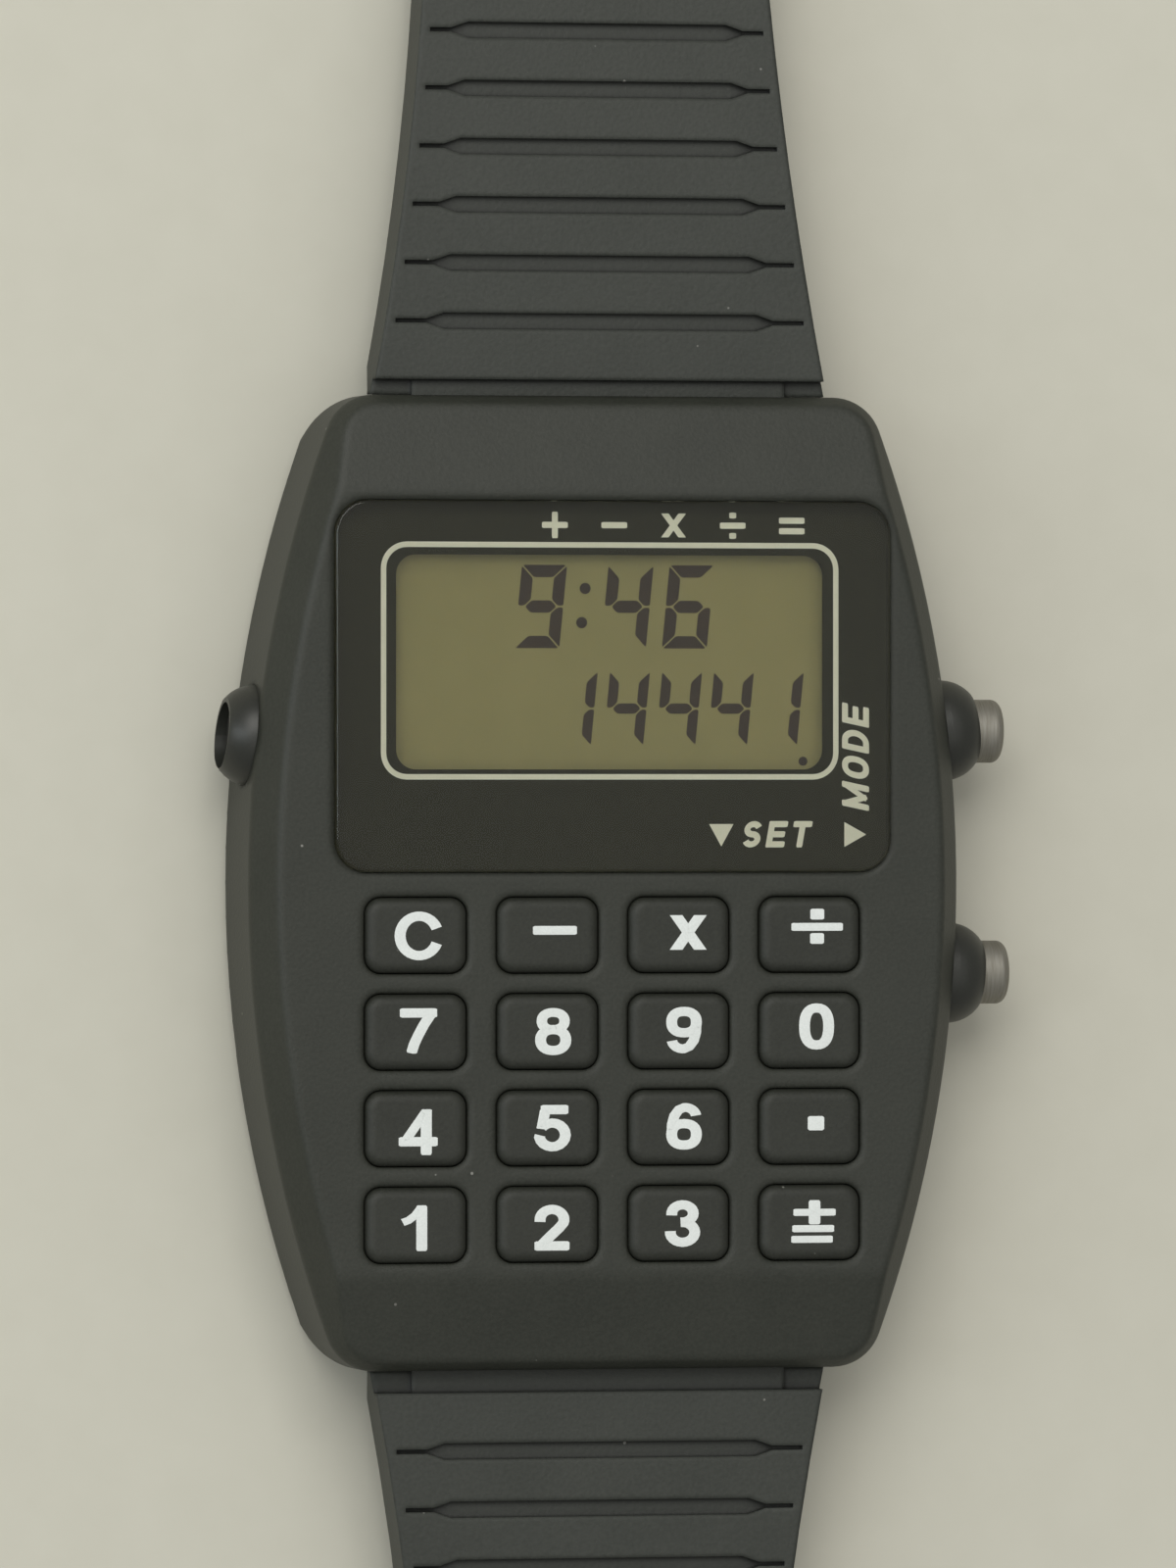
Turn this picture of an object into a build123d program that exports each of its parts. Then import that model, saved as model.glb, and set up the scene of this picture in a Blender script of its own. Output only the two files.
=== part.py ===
"""Digital calculator watch with a resin case, sixteen keys and a ribbed strap laid open.

Millimetres. +X points to 3 o'clock, +Y to 12 o'clock, +Z out of the display.
The origin is the middle of the case back's flat outer face, which lies on the table.
"""

import os
from math import asin, cos, degrees, sin, sqrt

from build123d import *

# Overrun that carries every cut past the face it opens, and the shared small fits
overrun = 1.0
running_gap = 0.05
seat_gap = 0.1
thread_gap = 0.02

# Case outline and heights
case_half_width = 16.5
case_half_length = 22.1
case_side_radius = 60.0
case_corner_radius = 2.3
case_height = 8.0
case_bottom_z = 0.45
case_foot_radius = 0.5
shoulder_inset = 1.05
shoulder_drop = 1.7
shoulder_edge_radius = 0.5
crease_radius = 0.2
slope_edge_radius = 2.0
end_slope_length = 4.35
end_slope_drop = 1.1

# Cavity that opens to the back, with cut corners that leave the screw posts
cavity_half_width = 12.2
cavity_half_length = 17.55
cavity_corner_cut = 3.0
cavity_corner_radius = 0.6
cavity_roof_z = 6.35

# Case back, gasket and screws
back_thickness = 0.8
back_inset = 0.75
back_half_length = 19.2
back_corner_radius = 2.0
back_fit = 0.1
back_edge_chamfer = 0.25
gasket_inset = 0.25
gasket_width = 0.5
gasket_height = 0.4
screw_offset = 1.5
screw_radius = 0.5
screw_head_radius = 0.9
screw_head_height = 0.4
screw_head_depth = 0.05
screw_length = 2.8
screw_slot_width = 0.25
screw_slot_depth = 0.2

# Window: crystal, printed mask and the opening under them
crystal_width = 25.8
crystal_length = 16.8
crystal_y = 8.9
crystal_corner_radius = 1.5
crystal_thickness = 1.25
crystal_proud = 0.25
crystal_chamfer = 0.25
crystal_gap = 0.04
mask_thickness = 0.1
display_y = 10.0
display_width = 19.85
display_length = 9.72
display_corner_radius = 0.9
opening_margin = 0.35

# Liquid crystal panel, reflector, holder and connector strips
panel_width = 22.6
panel_length = 12.4
panel_thickness = 1.1
panel_gap = 0.05
reflector_thickness = 0.1
reflector_margin = 1.3
holder_wall = 0.6
strip_length = 20.0
strip_width = 0.9
strip_inset = 0.2

# Circuit board and what hangs under it
board_thickness = 0.8
board_bottom_z = 3.5
module_gap = 0.2
chip_radius = 3.2
chip_height = 1.1
chip_dome_share = 0.8
chip_x = -4.5
chip_y = 8.5
can_radius = 0.75
can_length = 6.0
can_x = 4.0
can_y = 9.0
frame_bottom_z = 1.05
pocket_gap = 0.3
battery_radius = 8.0
battery_thickness = 1.6
battery_y = -8.9
battery_rim_step = 0.7
clip_thickness = 0.15
clip_width = 4.0
clip_overlap = 1.2
spring_strip_width = 2.0
spring_strip_length = 4.5
spring_strip_thickness = 0.12

# Keys: four rows of four, each with a flange under the keypad web
key_columns = 4
key_rows = 4
key_pitch_x = 6.1
key_pitch_y = 4.36
key_grid_y = -8.9
key_width = 4.7
key_length = 3.42
key_hole_gap = 0.04
key_rim_chamfer = 0.1
key_corner_radius = 0.75
key_proud = 0.2
key_top_radius = 0.45
key_foot_width = 3.0
key_foot_length = 2.2
key_foot_radius = 0.5
key_foot_clearance = 0.55
key_flange_margin = 0.32
key_flange_thickness = 0.4
web_thickness = 0.3
web_gap = 0.05
web_margin = 0.3
key_names = (
    ("clear", "minus", "times", "divide"),
    ("7", "8", "9", "0"),
    ("4", "5", "6", "point"),
    ("1", "2", "3", "plus_equals"),
)

# Side buttons: where they sit and how far their collars and pins stand out
button_z = 4.0
upper_button_y = 6.9
lower_button_y = -4.15
left_button_y = 6.7
collar_radius = 2.3
collar_dome_length = 1.4
collar_end_radius = 1.6
collar_seat_step = 0.25
collar_sink = 0.8
right_collar_proud = 1.7
left_collar_proud = 1.15
pin_radius = 1.45
right_pin_proud = 1.25
left_pin_sunk = 0.45
pin_edge_radius = 0.4
right_pin_head_length = 3.4
left_pin_head_length = 2.4
stem_radius = 0.6
stem_reach = 1.0
guide_wall = 0.9
ring_wire_radius = 0.25
ring_from_head_end = 0.9
retainer_radius = 0.85
retainer_thickness = 0.3
retainer_groove_depth = 0.15
return_spring_wire_radius = 0.13
return_spring_turns = 4
contact_thickness = 0.15
contact_half_width = 0.8
contact_drop = 0.8
contact_rise = 0.3
contact_stand_back = 0.35
pin_travel = 0.8
notch_half_width = 1.6

# Strap notch in each case end, and the spring bars that cross it
bar_inset = 2.0
bar_z = 4.2
bar_tube_radius = 0.75
bar_tube_bore_radius = 0.5
bar_tip_radius = 0.4
bar_tip_hole_depth = 1.3
bar_tip_head_length = 0.8
bar_spring_wire_radius = 0.08
bar_spring_turns = 9
strap_notch_half_width = 8.8
notch_roof_gap = 0.75
notch_floor_gap = 0.4
tongue_swing_gap = 0.3
lug_slope_top_z = 3.7
lug_slope_run = 2.25
lip_inset = 2.75

# Strap halves: width, taper, thickness and the way down to the table
strap_thickness = 2.4
strap_case_gap = 0.06
strap_start_half_width = 10.6
strap_end_half_width = 7.6
strap_taper_length = 31.0
strap_side_gap = 0.1
shoulder_cut_run = 1.3
upper_fall_length = 40.0
lower_fall_length = 60.0
upper_strap_length = 67.5
lower_strap_length = 108.0
strap_tip_bulge = 5.0

# Cross ribs: the grooves between them, wide in the middle and thin at both ends
rib_pitch = 2.65
groove_depth = 0.35
groove_width = 0.75
thin_groove_width = 0.2
groove_taper_length = 0.8
groove_wide_share = 0.73
groove_end_margin = 0.45
upper_groove_count = 18
lower_groove_count = 16
upper_step_length = 0.75
lower_step_length = 1.05
end_step_depth = 0.4
shoulder_step_depth = 0.6

# Holes in the tail
tail_hole_radius = 1.05
tail_hole_count = 10
tail_hole_pitch = 5.3
tail_hole_start = 50.0

# Buckle, its bar and tongue, and the keeper
buckle_bar_radius = 0.6
buckle_wire_radius = 0.95
buckle_window_length = 6.25
buckle_arm_width = 1.6
buckle_arm_gap = 0.4
buckle_pin_inset = 0.2
tongue_width = 1.9
tongue_slot_gap = 0.25
tongue_slot_length = 3.4
tongue_ring_wall = 0.5
tongue_thickness = 0.8
tongue_overhang = 1.1
tongue_tip_radius = 0.35
keeper_wall = 0.95
keeper_length = 4.6
keeper_gap = 0.15
keeper_side_gap = 0.25
keeper_from_bar = 7.4
keeper_edge_radius = 0.35

# Places that follow from the sizes above
board_top_z = board_bottom_z + board_thickness
case_wall_bottom_z = back_thickness
ledge_z = case_height - (crystal_thickness - crystal_proud) - mask_thickness
panel_top_z = cavity_roof_z - panel_gap
panel_bottom_z = panel_top_z - panel_thickness
end_slope_start_y = case_half_length - end_slope_length
bar_y = case_half_length - bar_inset
strap_half_thickness = strap_thickness / 2
strap_start_y = case_half_length + strap_case_gap
tongue_half_width = strap_notch_half_width - strap_side_gap
upper_end_z = keeper_wall + keeper_gap + strap_half_thickness
lower_end_z = strap_half_thickness
buckle_y = strap_start_y + upper_strap_length
tail_y = strap_start_y + lower_strap_length


def box_between(low, high):
    """Box from its lowest corner to its highest corner."""
    size = [high[i] - low[i] for i in range(3)]
    middle = [(high[i] + low[i]) / 2 for i in range(3)]
    return Pos(*middle) * Box(*size)


def slab(sketch, low_z, high_z):
    """A flat outline given thickness between two heights."""
    return extrude(Pos(0, 0, low_z) * sketch, amount=high_z - low_z)


def round_slab(width, length, radius, low_z, high_z, y=0):
    """A rounded rectangle given thickness, centred at x zero."""
    return Pos(0, y, 0) * slab(RectangleRounded(width, length, radius), low_z, high_z)


def rod(radius, start, end, x=0, y=0, z=0):
    """A round rod along X from start to end, about the line through y and z."""
    cylinder = Cylinder(radius, end - start)
    return Pos(x + (start + end) / 2, y, z) * Rot(0, 90, 0) * cylinder


def side_x(y):
    """Half width of the case outline at a height y on the dial."""
    return case_half_width - case_side_radius + sqrt(case_side_radius**2 - y**2)


def tonneau(inset=0, half_length=case_half_length, corner=case_corner_radius):
    """Case outline: straight ends, bowed sides and rounded corners, moved inwards."""
    radius = case_side_radius - inset
    middle = case_half_width - inset
    end = middle - radius + sqrt(radius**2 - half_length**2)
    top, bottom = half_length, -half_length
    outline = [
        Line((-end, bottom), (end, bottom)),
        ThreePointArc((end, bottom), (middle, 0), (end, top)),
        Line((end, top), (-end, top)),
        ThreePointArc((-end, top), (-middle, 0), (-end, bottom)),
    ]
    face = make_face(outline)
    return fillet(face.vertices(), corner)


def cut_corner_outline(grow=0):
    """Cavity outline with cut corners, grown outwards by a set amount."""
    half_x = cavity_half_width + grow
    half_y = cavity_half_length + grow
    cut = cavity_corner_cut + grow * (2 - sqrt(2))
    corners = []
    for sx, sy in ((1, 1), (-1, 1), (-1, -1), (1, -1)):
        near_side = (sx * half_x, sy * (half_y - cut))
        near_end = (sx * (half_x - cut), sy * half_y)
        corners += [near_side, near_end] if sx * sy > 0 else [near_end, near_side]
    return fillet(make_face(Polyline(*corners, close=True)).vertices(), cavity_corner_radius + max(grow, 0))


def screw_places():
    """The four case back screws, outside the cavity's cut corners."""
    reach = cavity_corner_cut / 2 - screw_offset / sqrt(2)
    x = cavity_half_width - reach
    y = cavity_half_length - reach
    return [(sx * x, sy * y) for sx in (1, -1) for sy in (1, -1)]


def key_places():
    """Every key's name and the middle of its hole."""
    places = []
    for row in range(key_rows):
        for column in range(key_columns):
            x = (column - (key_columns - 1) / 2) * key_pitch_x
            y = key_grid_y - (row - (key_rows - 1) / 2) * key_pitch_y
            places.append((key_names[row][column], x, y))
    return places


def yz_prism(points_or_edges, half_width):
    """A side outline in Y and Z given width, the same both ways from x zero."""
    face = make_face(points_or_edges)
    return extrude(face, amount=half_width, both=True, dir=(1, 0, 0))


def yz_polygon(points):
    """A closed side outline through points given as y and z."""
    return Polyline(*[(0, y, z) for y, z in points], close=True)


def coil(mean_radius, wire_radius, length, turns):
    """A round wire wound along Z from zero up to a length, its ends cut level."""
    path = Helix(length / turns, length, mean_radius)
    start = path @ 0
    section = Plane(origin=start, z_dir=path % 0) * Circle(wire_radius)
    return sweep(section, path=path)


# Side buttons: every place is a distance out from the cavity wall


class Button:
    """Places of one side button along its own outward line."""

    def __init__(self, name, side, y, collar_proud, pin_proud, head_length):
        self.name = name
        self.side = side
        self.y = y
        self.flank = side_x(y) - cavity_half_width
        self.collar_proud = collar_proud
        self.turn = side * degrees(asin(y / case_side_radius))
        self.pin_end = self.flank + collar_proud + pin_proud
        self.head_start = self.pin_end - head_length

    def place(self, shape):
        """Puts a shape made along +X from zero at the button's place in the case."""
        turned = shape if self.side > 0 else Rot(0, 0, 180) * shape
        return Pos(self.side * cavity_half_width, self.y, button_z) * turned

    def seat(self, outer):
        """A collar's straight seat joined to an outer part that is turned square to the flank."""
        straight = rod(collar_radius - collar_seat_step, guide_wall, self.flank)
        return straight + Pos(self.flank, 0, 0) * Rot(0, 0, self.turn) * outer


buttons = (
    Button("upper_right", 1, upper_button_y, right_collar_proud, right_pin_proud, right_pin_head_length),
    Button("lower_right", 1, lower_button_y, right_collar_proud, right_pin_proud, right_pin_head_length),
    Button("left", -1, left_button_y, left_collar_proud, -left_pin_sunk, left_pin_head_length),
)


# Case


def strap_notch():
    """Room in one case end for the strap's tongue to turn about its spring bar."""
    roof = bar_z + strap_half_thickness + notch_roof_gap
    floor = bar_z - strap_half_thickness - notch_floor_gap
    wall = bar_y - strap_half_thickness - tongue_swing_gap
    lip_y = case_half_length - lip_inset
    foot_y = case_half_length - lug_slope_run
    out = case_half_length + overrun
    below = -overrun
    outline = [(out, roof), (wall, roof), (wall, floor), (lip_y, floor)]
    outline += [(foot_y, case_bottom_z), (foot_y, below), (out, below)]
    return yz_prism(yz_polygon(outline), strap_notch_half_width)


def lug_slope():
    """The case end's underside, cut back so that the strap can hang down."""
    foot_y = case_half_length - lug_slope_run
    out = case_half_length + overrun
    outline = [(case_half_length, lug_slope_top_z), (out, lug_slope_top_z)]
    outline += [(out, -overrun), (foot_y, -overrun), (foot_y, case_bottom_z)]
    return yz_prism(yz_polygon(outline), case_half_width + overrun)


def end_slope():
    """The top face's gentle fall towards one end of the case."""
    out = case_half_length + overrun
    fall = end_slope_drop * (out - end_slope_start_y) / end_slope_length
    above = case_height + overrun
    outline = [(end_slope_start_y, case_height), (out, case_height - fall)]
    outline += [(out, above), (end_slope_start_y, above)]
    return yz_prism(yz_polygon(outline), case_half_width + overrun)


def edge_heights(edge):
    """Lowest and highest point of an edge."""
    box = edge.bounding_box()
    return box.min.Z, box.max.Z


def key_hole():
    """A key's hole through the top face, its upper rim bevelled."""
    rim_z = case_height - key_rim_chamfer
    outlines = []
    for grow in (key_hole_gap, key_hole_gap + key_rim_chamfer):
        outlines.append(RectangleRounded(key_width + 2 * grow, key_length + 2 * grow, key_corner_radius + grow))
    hole = slab(outlines[0], cavity_roof_z - overrun, rim_z)
    hole += loft([Pos(0, 0, rim_z) * outlines[0], Pos(0, 0, case_height) * outlines[1]])
    return hole + slab(outlines[1], case_height, case_height + overrun)


def case_block():
    """Solid outer shape of the case: steep shoulders, sloped ends and soft edges."""
    block = slab(tonneau(), case_bottom_z, case_height)
    top = block.faces().sort_by(Axis.Z)[-1]
    block = chamfer(top.edges(), shoulder_inset, shoulder_drop, reference=top)
    block -= end_slope()
    block -= Rot(0, 0, 180) * end_slope()
    top = block.faces().sort_by(Axis.Z)[-1]
    block = fillet(top.edges().filter_by(Axis.X), slope_edge_radius)
    shoulder_z = case_height - shoulder_drop
    creases = [edge for edge in block.edges() if edge_heights(edge)[0] > shoulder_z + crease_radius]
    block = fillet(creases, crease_radius)
    level = [edge for edge in block.edges() if max(edge_heights(edge)) - min(edge_heights(edge)) < seat_gap]
    shoulder = [edge for edge in level if abs(max(edge_heights(edge)) - shoulder_z) < seat_gap]
    block = fillet(shoulder, shoulder_edge_radius)
    return fillet(block.edges().group_by(Axis.Z)[0], case_foot_radius)


def make_case_shell():
    """Resin case: top face, flanks, recesses, holes and strap notches."""
    shell = case_block()
    for sign in (1, -1):
        turn = Rot(0, 0, 0 if sign > 0 else 180)
        shell -= turn * strap_notch()
        shell -= turn * lug_slope()
        hole = strap_notch_half_width + bar_tip_hole_depth
        hole_radius = bar_tip_radius + running_gap
        shell -= rod(hole_radius, -hole, hole, y=sign * bar_y, z=bar_z)
    recess = tonneau(back_inset - back_fit, back_half_length + back_fit, back_corner_radius)
    shell -= slab(recess, case_bottom_z - overrun, case_wall_bottom_z)
    shell -= slab(cut_corner_outline(), case_wall_bottom_z - overrun, board_top_z)
    full = Rectangle(2 * cavity_half_width, 2 * cavity_half_length)
    full = fillet(full.vertices(), cavity_corner_radius)
    shell -= slab(full, board_top_z, cavity_roof_z)
    gasket_inner = cut_corner_outline(gasket_inset)
    gasket_outer = cut_corner_outline(gasket_inset + gasket_width)
    groove_top = case_wall_bottom_z + gasket_height
    shell -= slab(gasket_outer - gasket_inner, case_wall_bottom_z, groove_top)
    for x, y in screw_places():
        reach = screw_head_depth + screw_head_height + screw_length
        hole = Circle(screw_radius + thread_gap)
        shell -= Pos(x, y, 0) * slab(hole, 0, reach + seat_gap)
    shell -= crystal_block(crystal_gap, ledge_z, case_height + overrun)
    shell -= round_slab(
        display_width + 2 * opening_margin,
        display_length + 2 * opening_margin,
        display_corner_radius,
        cavity_roof_z - overrun,
        case_height,
        display_y,
    )
    for _, x, y in key_places():
        shell -= Pos(x, y, 0) * key_hole()
    for button in buttons:
        stem_hole = rod(stem_radius + running_gap, -overrun, guide_wall + overrun)
        collar_hole = button.seat(rod(collar_radius, -collar_sink, overrun))
        shell -= button.place(stem_hole + collar_hole)
    return shell


def make_case_back():
    """Steel plate with a bevelled edge and four sunk screw holes."""
    plate = slab(tonneau(back_inset, back_half_length, back_corner_radius - back_fit), 0, back_thickness)
    plate = chamfer(plate.edges().group_by(Axis.Z)[0], back_edge_chamfer)
    sink = screw_head_depth + screw_head_height
    for x, y in screw_places():
        plate -= Pos(x, y, 0) * slab(Circle(screw_radius + running_gap), -overrun, back_thickness + overrun)
        plate -= Pos(x, y, 0) * slab(Circle(screw_head_radius + running_gap), -overrun, sink)
    return plate


def make_back_gasket():
    """Flat sealing ring in its groove round the cavity."""
    ring = cut_corner_outline(gasket_inset + gasket_width) - cut_corner_outline(gasket_inset)
    return slab(ring, case_wall_bottom_z, case_wall_bottom_z + gasket_height)


def make_back_screws():
    """Four small screws with a crossed slot in the head."""
    head_top = screw_head_depth + screw_head_height
    screws = []
    for x, y in screw_places():
        screw = slab(Circle(screw_head_radius), screw_head_depth, head_top)
        screw += slab(Circle(screw_radius), head_top, head_top + screw_length)
        slot_top = screw_head_depth + screw_slot_depth
        for turn in (0, 90):
            slot = Rectangle(2 * screw_radius, screw_slot_width)
            screw -= Rot(0, 0, turn) * slab(slot, 0, slot_top)
        screws.append(Pos(x, y, 0) * screw)
    return Compound(children=screws)


# Window and display


def crystal_block(grow, low_z, high_z):
    """The crystal's outline, grown all round, between two heights."""
    return round_slab(
        crystal_width + 2 * grow,
        crystal_length + 2 * grow,
        crystal_corner_radius + grow,
        low_z,
        high_z,
        crystal_y,
    )


def make_crystal():
    """Clear window with a bevelled edge that stands just proud of the case."""
    bottom = ledge_z + mask_thickness
    crystal = crystal_block(0, bottom, bottom + crystal_thickness)
    return chamfer(crystal.edges().group_by(Axis.Z)[-1], crystal_chamfer)


def make_window_mask():
    """Printed black sheet that glues the crystal down, with the display opening."""
    sheet = crystal_block(0, ledge_z, ledge_z + mask_thickness)
    window = round_slab(
        display_width, display_length, display_corner_radius, ledge_z - overrun, case_height, display_y
    )
    return sheet - window


def panel_block(grow, low_z, high_z):
    """The display panel's outline, grown all round, between two heights."""
    low = (-panel_width / 2 - grow, display_y - panel_length / 2 - grow, low_z)
    high = (panel_width / 2 + grow, display_y + panel_length / 2 + grow, high_z)
    return box_between(low, high)


def make_lcd_holder():
    """Plastic frame on the board that centres the panel and its connector strips."""
    holder = panel_block(holder_wall + panel_gap, board_top_z, panel_top_z)
    holder -= panel_block(panel_gap, board_top_z - overrun, panel_top_z + overrun)
    for notch in button_notches(board_top_z - overrun, button_z + retainer_radius + seat_gap):
        holder -= notch
    return holder


def make_lcd_reflector():
    """Reflecting sheet under the middle of the panel, clear of the contact edges."""
    return panel_block(-reflector_margin, panel_bottom_z - reflector_thickness, panel_bottom_z)


def make_connector_strips():
    """Two rubber strips that join the panel's edges to the board."""
    strips = []
    for sign in (1, -1):
        outer = display_y + sign * (panel_length / 2 - strip_inset)
        inner = outer - sign * strip_width
        low = (-strip_length / 2, min(outer, inner), board_top_z)
        high = (strip_length / 2, max(outer, inner), panel_bottom_z)
        strips.append(box_between(low, high))
    return Compound(children=strips)


# Module


def button_notches(low_z, high_z):
    """Gaps in the module's edge where the button stems come in."""
    notches = []
    reach = stem_reach + pin_travel + contact_stand_back + contact_thickness
    for button in buttons:
        inner = cavity_half_width - reach
        outer = cavity_half_width + overrun
        span = sorted((button.side * inner, button.side * outer))
        low = (span[0], button.y - notch_half_width, low_z)
        high = (span[1], button.y + notch_half_width, high_z)
        notches.append(box_between(low, high))
    return notches


def make_circuit_board():
    """Board with cut corners and a notch for each side button."""
    board = slab(cut_corner_outline(-module_gap), board_bottom_z, board_top_z)
    for notch in button_notches(board_bottom_z - overrun, board_top_z + overrun):
        board -= notch
    return board


def make_module_frame():
    """Moulded frame under the board with pockets for battery, chip and quartz can."""
    low, high = frame_bottom_z, board_bottom_z
    frame = slab(cut_corner_outline(-module_gap), low, high)
    for notch in button_notches(low - overrun, high + overrun):
        frame -= notch
    frame -= Pos(0, battery_y, 0) * slab(Circle(battery_radius + seat_gap), low - overrun, high + overrun)
    frame -= Pos(chip_x, chip_y, 0) * slab(Circle(chip_radius + pocket_gap), low - overrun, high + overrun)
    can_pocket = RectangleRounded(2 * (can_radius + pocket_gap), can_length + 2 * pocket_gap, can_radius)
    frame -= Pos(can_x, can_y, 0) * slab(can_pocket, low - overrun, high + overrun)
    return frame


def make_chip_blob():
    """Domed blob of resin over the bare chip."""
    blob = slab(Circle(chip_radius), board_bottom_z - chip_height, board_bottom_z)
    blob = fillet(blob.edges().group_by(Axis.Z)[0], chip_height * chip_dome_share)
    return Pos(chip_x, chip_y, 0) * blob


def make_quartz_can():
    """Small metal can of the quartz crystal, lying along Y under the board."""
    can = Rot(90, 0, 0) * Cylinder(can_radius, can_length)
    return Pos(can_x, can_y, board_bottom_z - can_radius) * can


def make_battery():
    """Coin cell: wide can with a narrower cap on the board side."""
    top = frame_bottom_z + battery_thickness
    step = battery_thickness / 4
    cell = slab(Circle(battery_radius), frame_bottom_z, top - step)
    cell += slab(Circle(battery_radius - battery_rim_step), top - step, top)
    return Pos(0, battery_y, 0) * cell


def make_battery_clip():
    """Steel strip that crosses the cell and bears on the module frame."""
    half = battery_radius + clip_overlap
    low = (-half, battery_y - clip_width / 2, frame_bottom_z - clip_thickness)
    high = (half, battery_y + clip_width / 2, frame_bottom_z)
    return box_between(low, high)


def make_battery_spring():
    """Bent contact strip between the cell's cap and the board."""
    low_z = frame_bottom_z + battery_thickness
    high_z = board_bottom_z
    t = spring_strip_thickness
    start = battery_y - spring_strip_length / 2
    end = battery_y + spring_strip_length / 2
    outline = [(start, high_z), (start + 2 * t, high_z), (battery_y, low_z + t)]
    outline += [(end, low_z + t), (end, low_z), (battery_y - t, low_z), (start, high_z - t)]
    return yz_prism(yz_polygon(outline), spring_strip_width / 2)


def make_pusher_contacts():
    """Three leaves on the board's edge that the button stems press towards."""
    leaves = []
    reach = stem_reach + pin_travel + contact_stand_back + contact_thickness
    for button in buttons:
        inner = cavity_half_width - reach
        span = sorted((button.side * inner, button.side * (inner + contact_thickness)))
        low = (span[0], button.y - contact_half_width, button_z - contact_drop)
        high = (span[1], button.y + contact_half_width, button_z + contact_rise)
        leaves.append(box_between(low, high))
    return Compound(children=leaves)


# Keypad


def key_body(grow, low_z, high_z):
    """A key's plan shape, grown all round, between two heights."""
    shape = RectangleRounded(key_width + 2 * grow, key_length + 2 * grow, key_corner_radius)
    return slab(shape, low_z, high_z)


def make_keypad_web():
    """Thin rubber sheet under the top face, with a window for every key."""
    places = key_places()
    top = cavity_roof_z - web_gap
    half_x = max(x for _, x, _ in places) + key_width / 2 + web_margin
    low_y = min(y for _, _, y in places) - key_length / 2 - web_margin
    high_y = max(y for _, _, y in places) + key_length / 2 + web_margin
    web = box_between((-half_x, low_y, top - web_thickness), (half_x, high_y, top))
    for _, x, y in places:
        web -= Pos(x, y, 0) * key_body(seat_gap, top - web_thickness - overrun, top + overrun)
    return web


def make_key(x, y):
    """One key: soft rounded top, a flange that holds it in and a foot over the board."""
    top = case_height + key_proud
    bottom = board_top_z + key_foot_clearance
    flange_top = cavity_roof_z - web_gap - web_thickness - web_gap
    flange_bottom = flange_top - key_flange_thickness
    key = key_body(0, flange_bottom, top)
    key = fillet(key.edges().group_by(Axis.Z)[-1], key_top_radius)
    key += key_body(key_flange_margin, flange_bottom, flange_top)
    key += round_slab(key_foot_width, key_foot_length, key_foot_radius, bottom, flange_bottom)
    return Pos(x, y, 0) * key


# Side buttons


def make_collar(button):
    """Black domed collar seated in the flank round the button's pin."""
    end = button.collar_proud
    dome_start = end - collar_dome_length
    profile = [
        Line((-collar_sink, 0), (-collar_sink, collar_radius)),
        Line((-collar_sink, collar_radius), (dome_start, collar_radius)),
        TangentArc((dome_start, collar_radius), (end, collar_end_radius), tangent=(1, 0)),
        Line((end, collar_end_radius), (end, 0)),
        Line((end, 0), (-collar_sink, 0)),
    ]
    collar = button.seat(revolve(make_face(profile), Axis.X))
    return button.place(collar - rod(pin_radius + running_gap, 0, button.flank + end + overrun))


def make_pin(button):
    """Push pin: round head with a ring groove, and a stem that reaches the module."""
    head = rod(pin_radius, button.head_start, button.pin_end)
    head = fillet(head.edges().group_by(Axis.X)[-1], pin_edge_radius)
    ring_x = button.head_start + ring_from_head_end
    groove = rod(pin_radius + overrun, ring_x - ring_wire_radius, ring_x + ring_wire_radius)
    groove -= rod(pin_radius - 2 * ring_wire_radius, button.head_start, button.pin_end)
    pin = head - groove + rod(stem_radius, -stem_reach, button.head_start)
    clip_groove = rod(stem_radius + overrun, -running_gap - retainer_thickness, -running_gap)
    clip_groove -= rod(stem_radius - retainer_groove_depth, -stem_reach, 0)
    return button.place(pin - clip_groove)


def make_o_ring(button):
    """Sealing ring in the pin's groove."""
    middle = pin_radius - ring_wire_radius
    ring = Torus(middle, ring_wire_radius)
    ring_x = button.head_start + ring_from_head_end
    return button.place(Pos(ring_x, 0, 0) * Rot(0, 90, 0) * ring)


def make_retainer(button):
    """Open clip in the stem's groove that keeps the pin from coming out."""
    start = -running_gap - retainer_thickness
    inner = stem_radius - retainer_groove_depth
    clip = rod(retainer_radius, start, -running_gap) - rod(inner, start - overrun, overrun)
    gap_low = (start - overrun, -inner, 0)
    gap_high = (overrun, inner, retainer_radius + overrun)
    return button.place(clip - box_between(gap_low, gap_high))


def make_return_spring(button):
    """Coil spring between the guide wall and the pin's head."""
    length = button.head_start - guide_wall - 2 * return_spring_wire_radius
    mean = (stem_radius + pin_radius) / 2
    spring = coil(mean, return_spring_wire_radius, length, return_spring_turns)
    start = guide_wall + return_spring_wire_radius
    return button.place(Pos(start, 0, 0) * Rot(0, 90, 0) * spring)


# Spring bars


def make_bar_tube(sign):
    """Steel tube of one spring bar, inside the strap's tongue."""
    tube = rod(bar_tube_radius, -tongue_half_width, tongue_half_width)
    tube -= rod(bar_tube_bore_radius, -tongue_half_width - overrun, tongue_half_width + overrun)
    return Pos(0, sign * bar_y, bar_z) * tube


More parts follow.
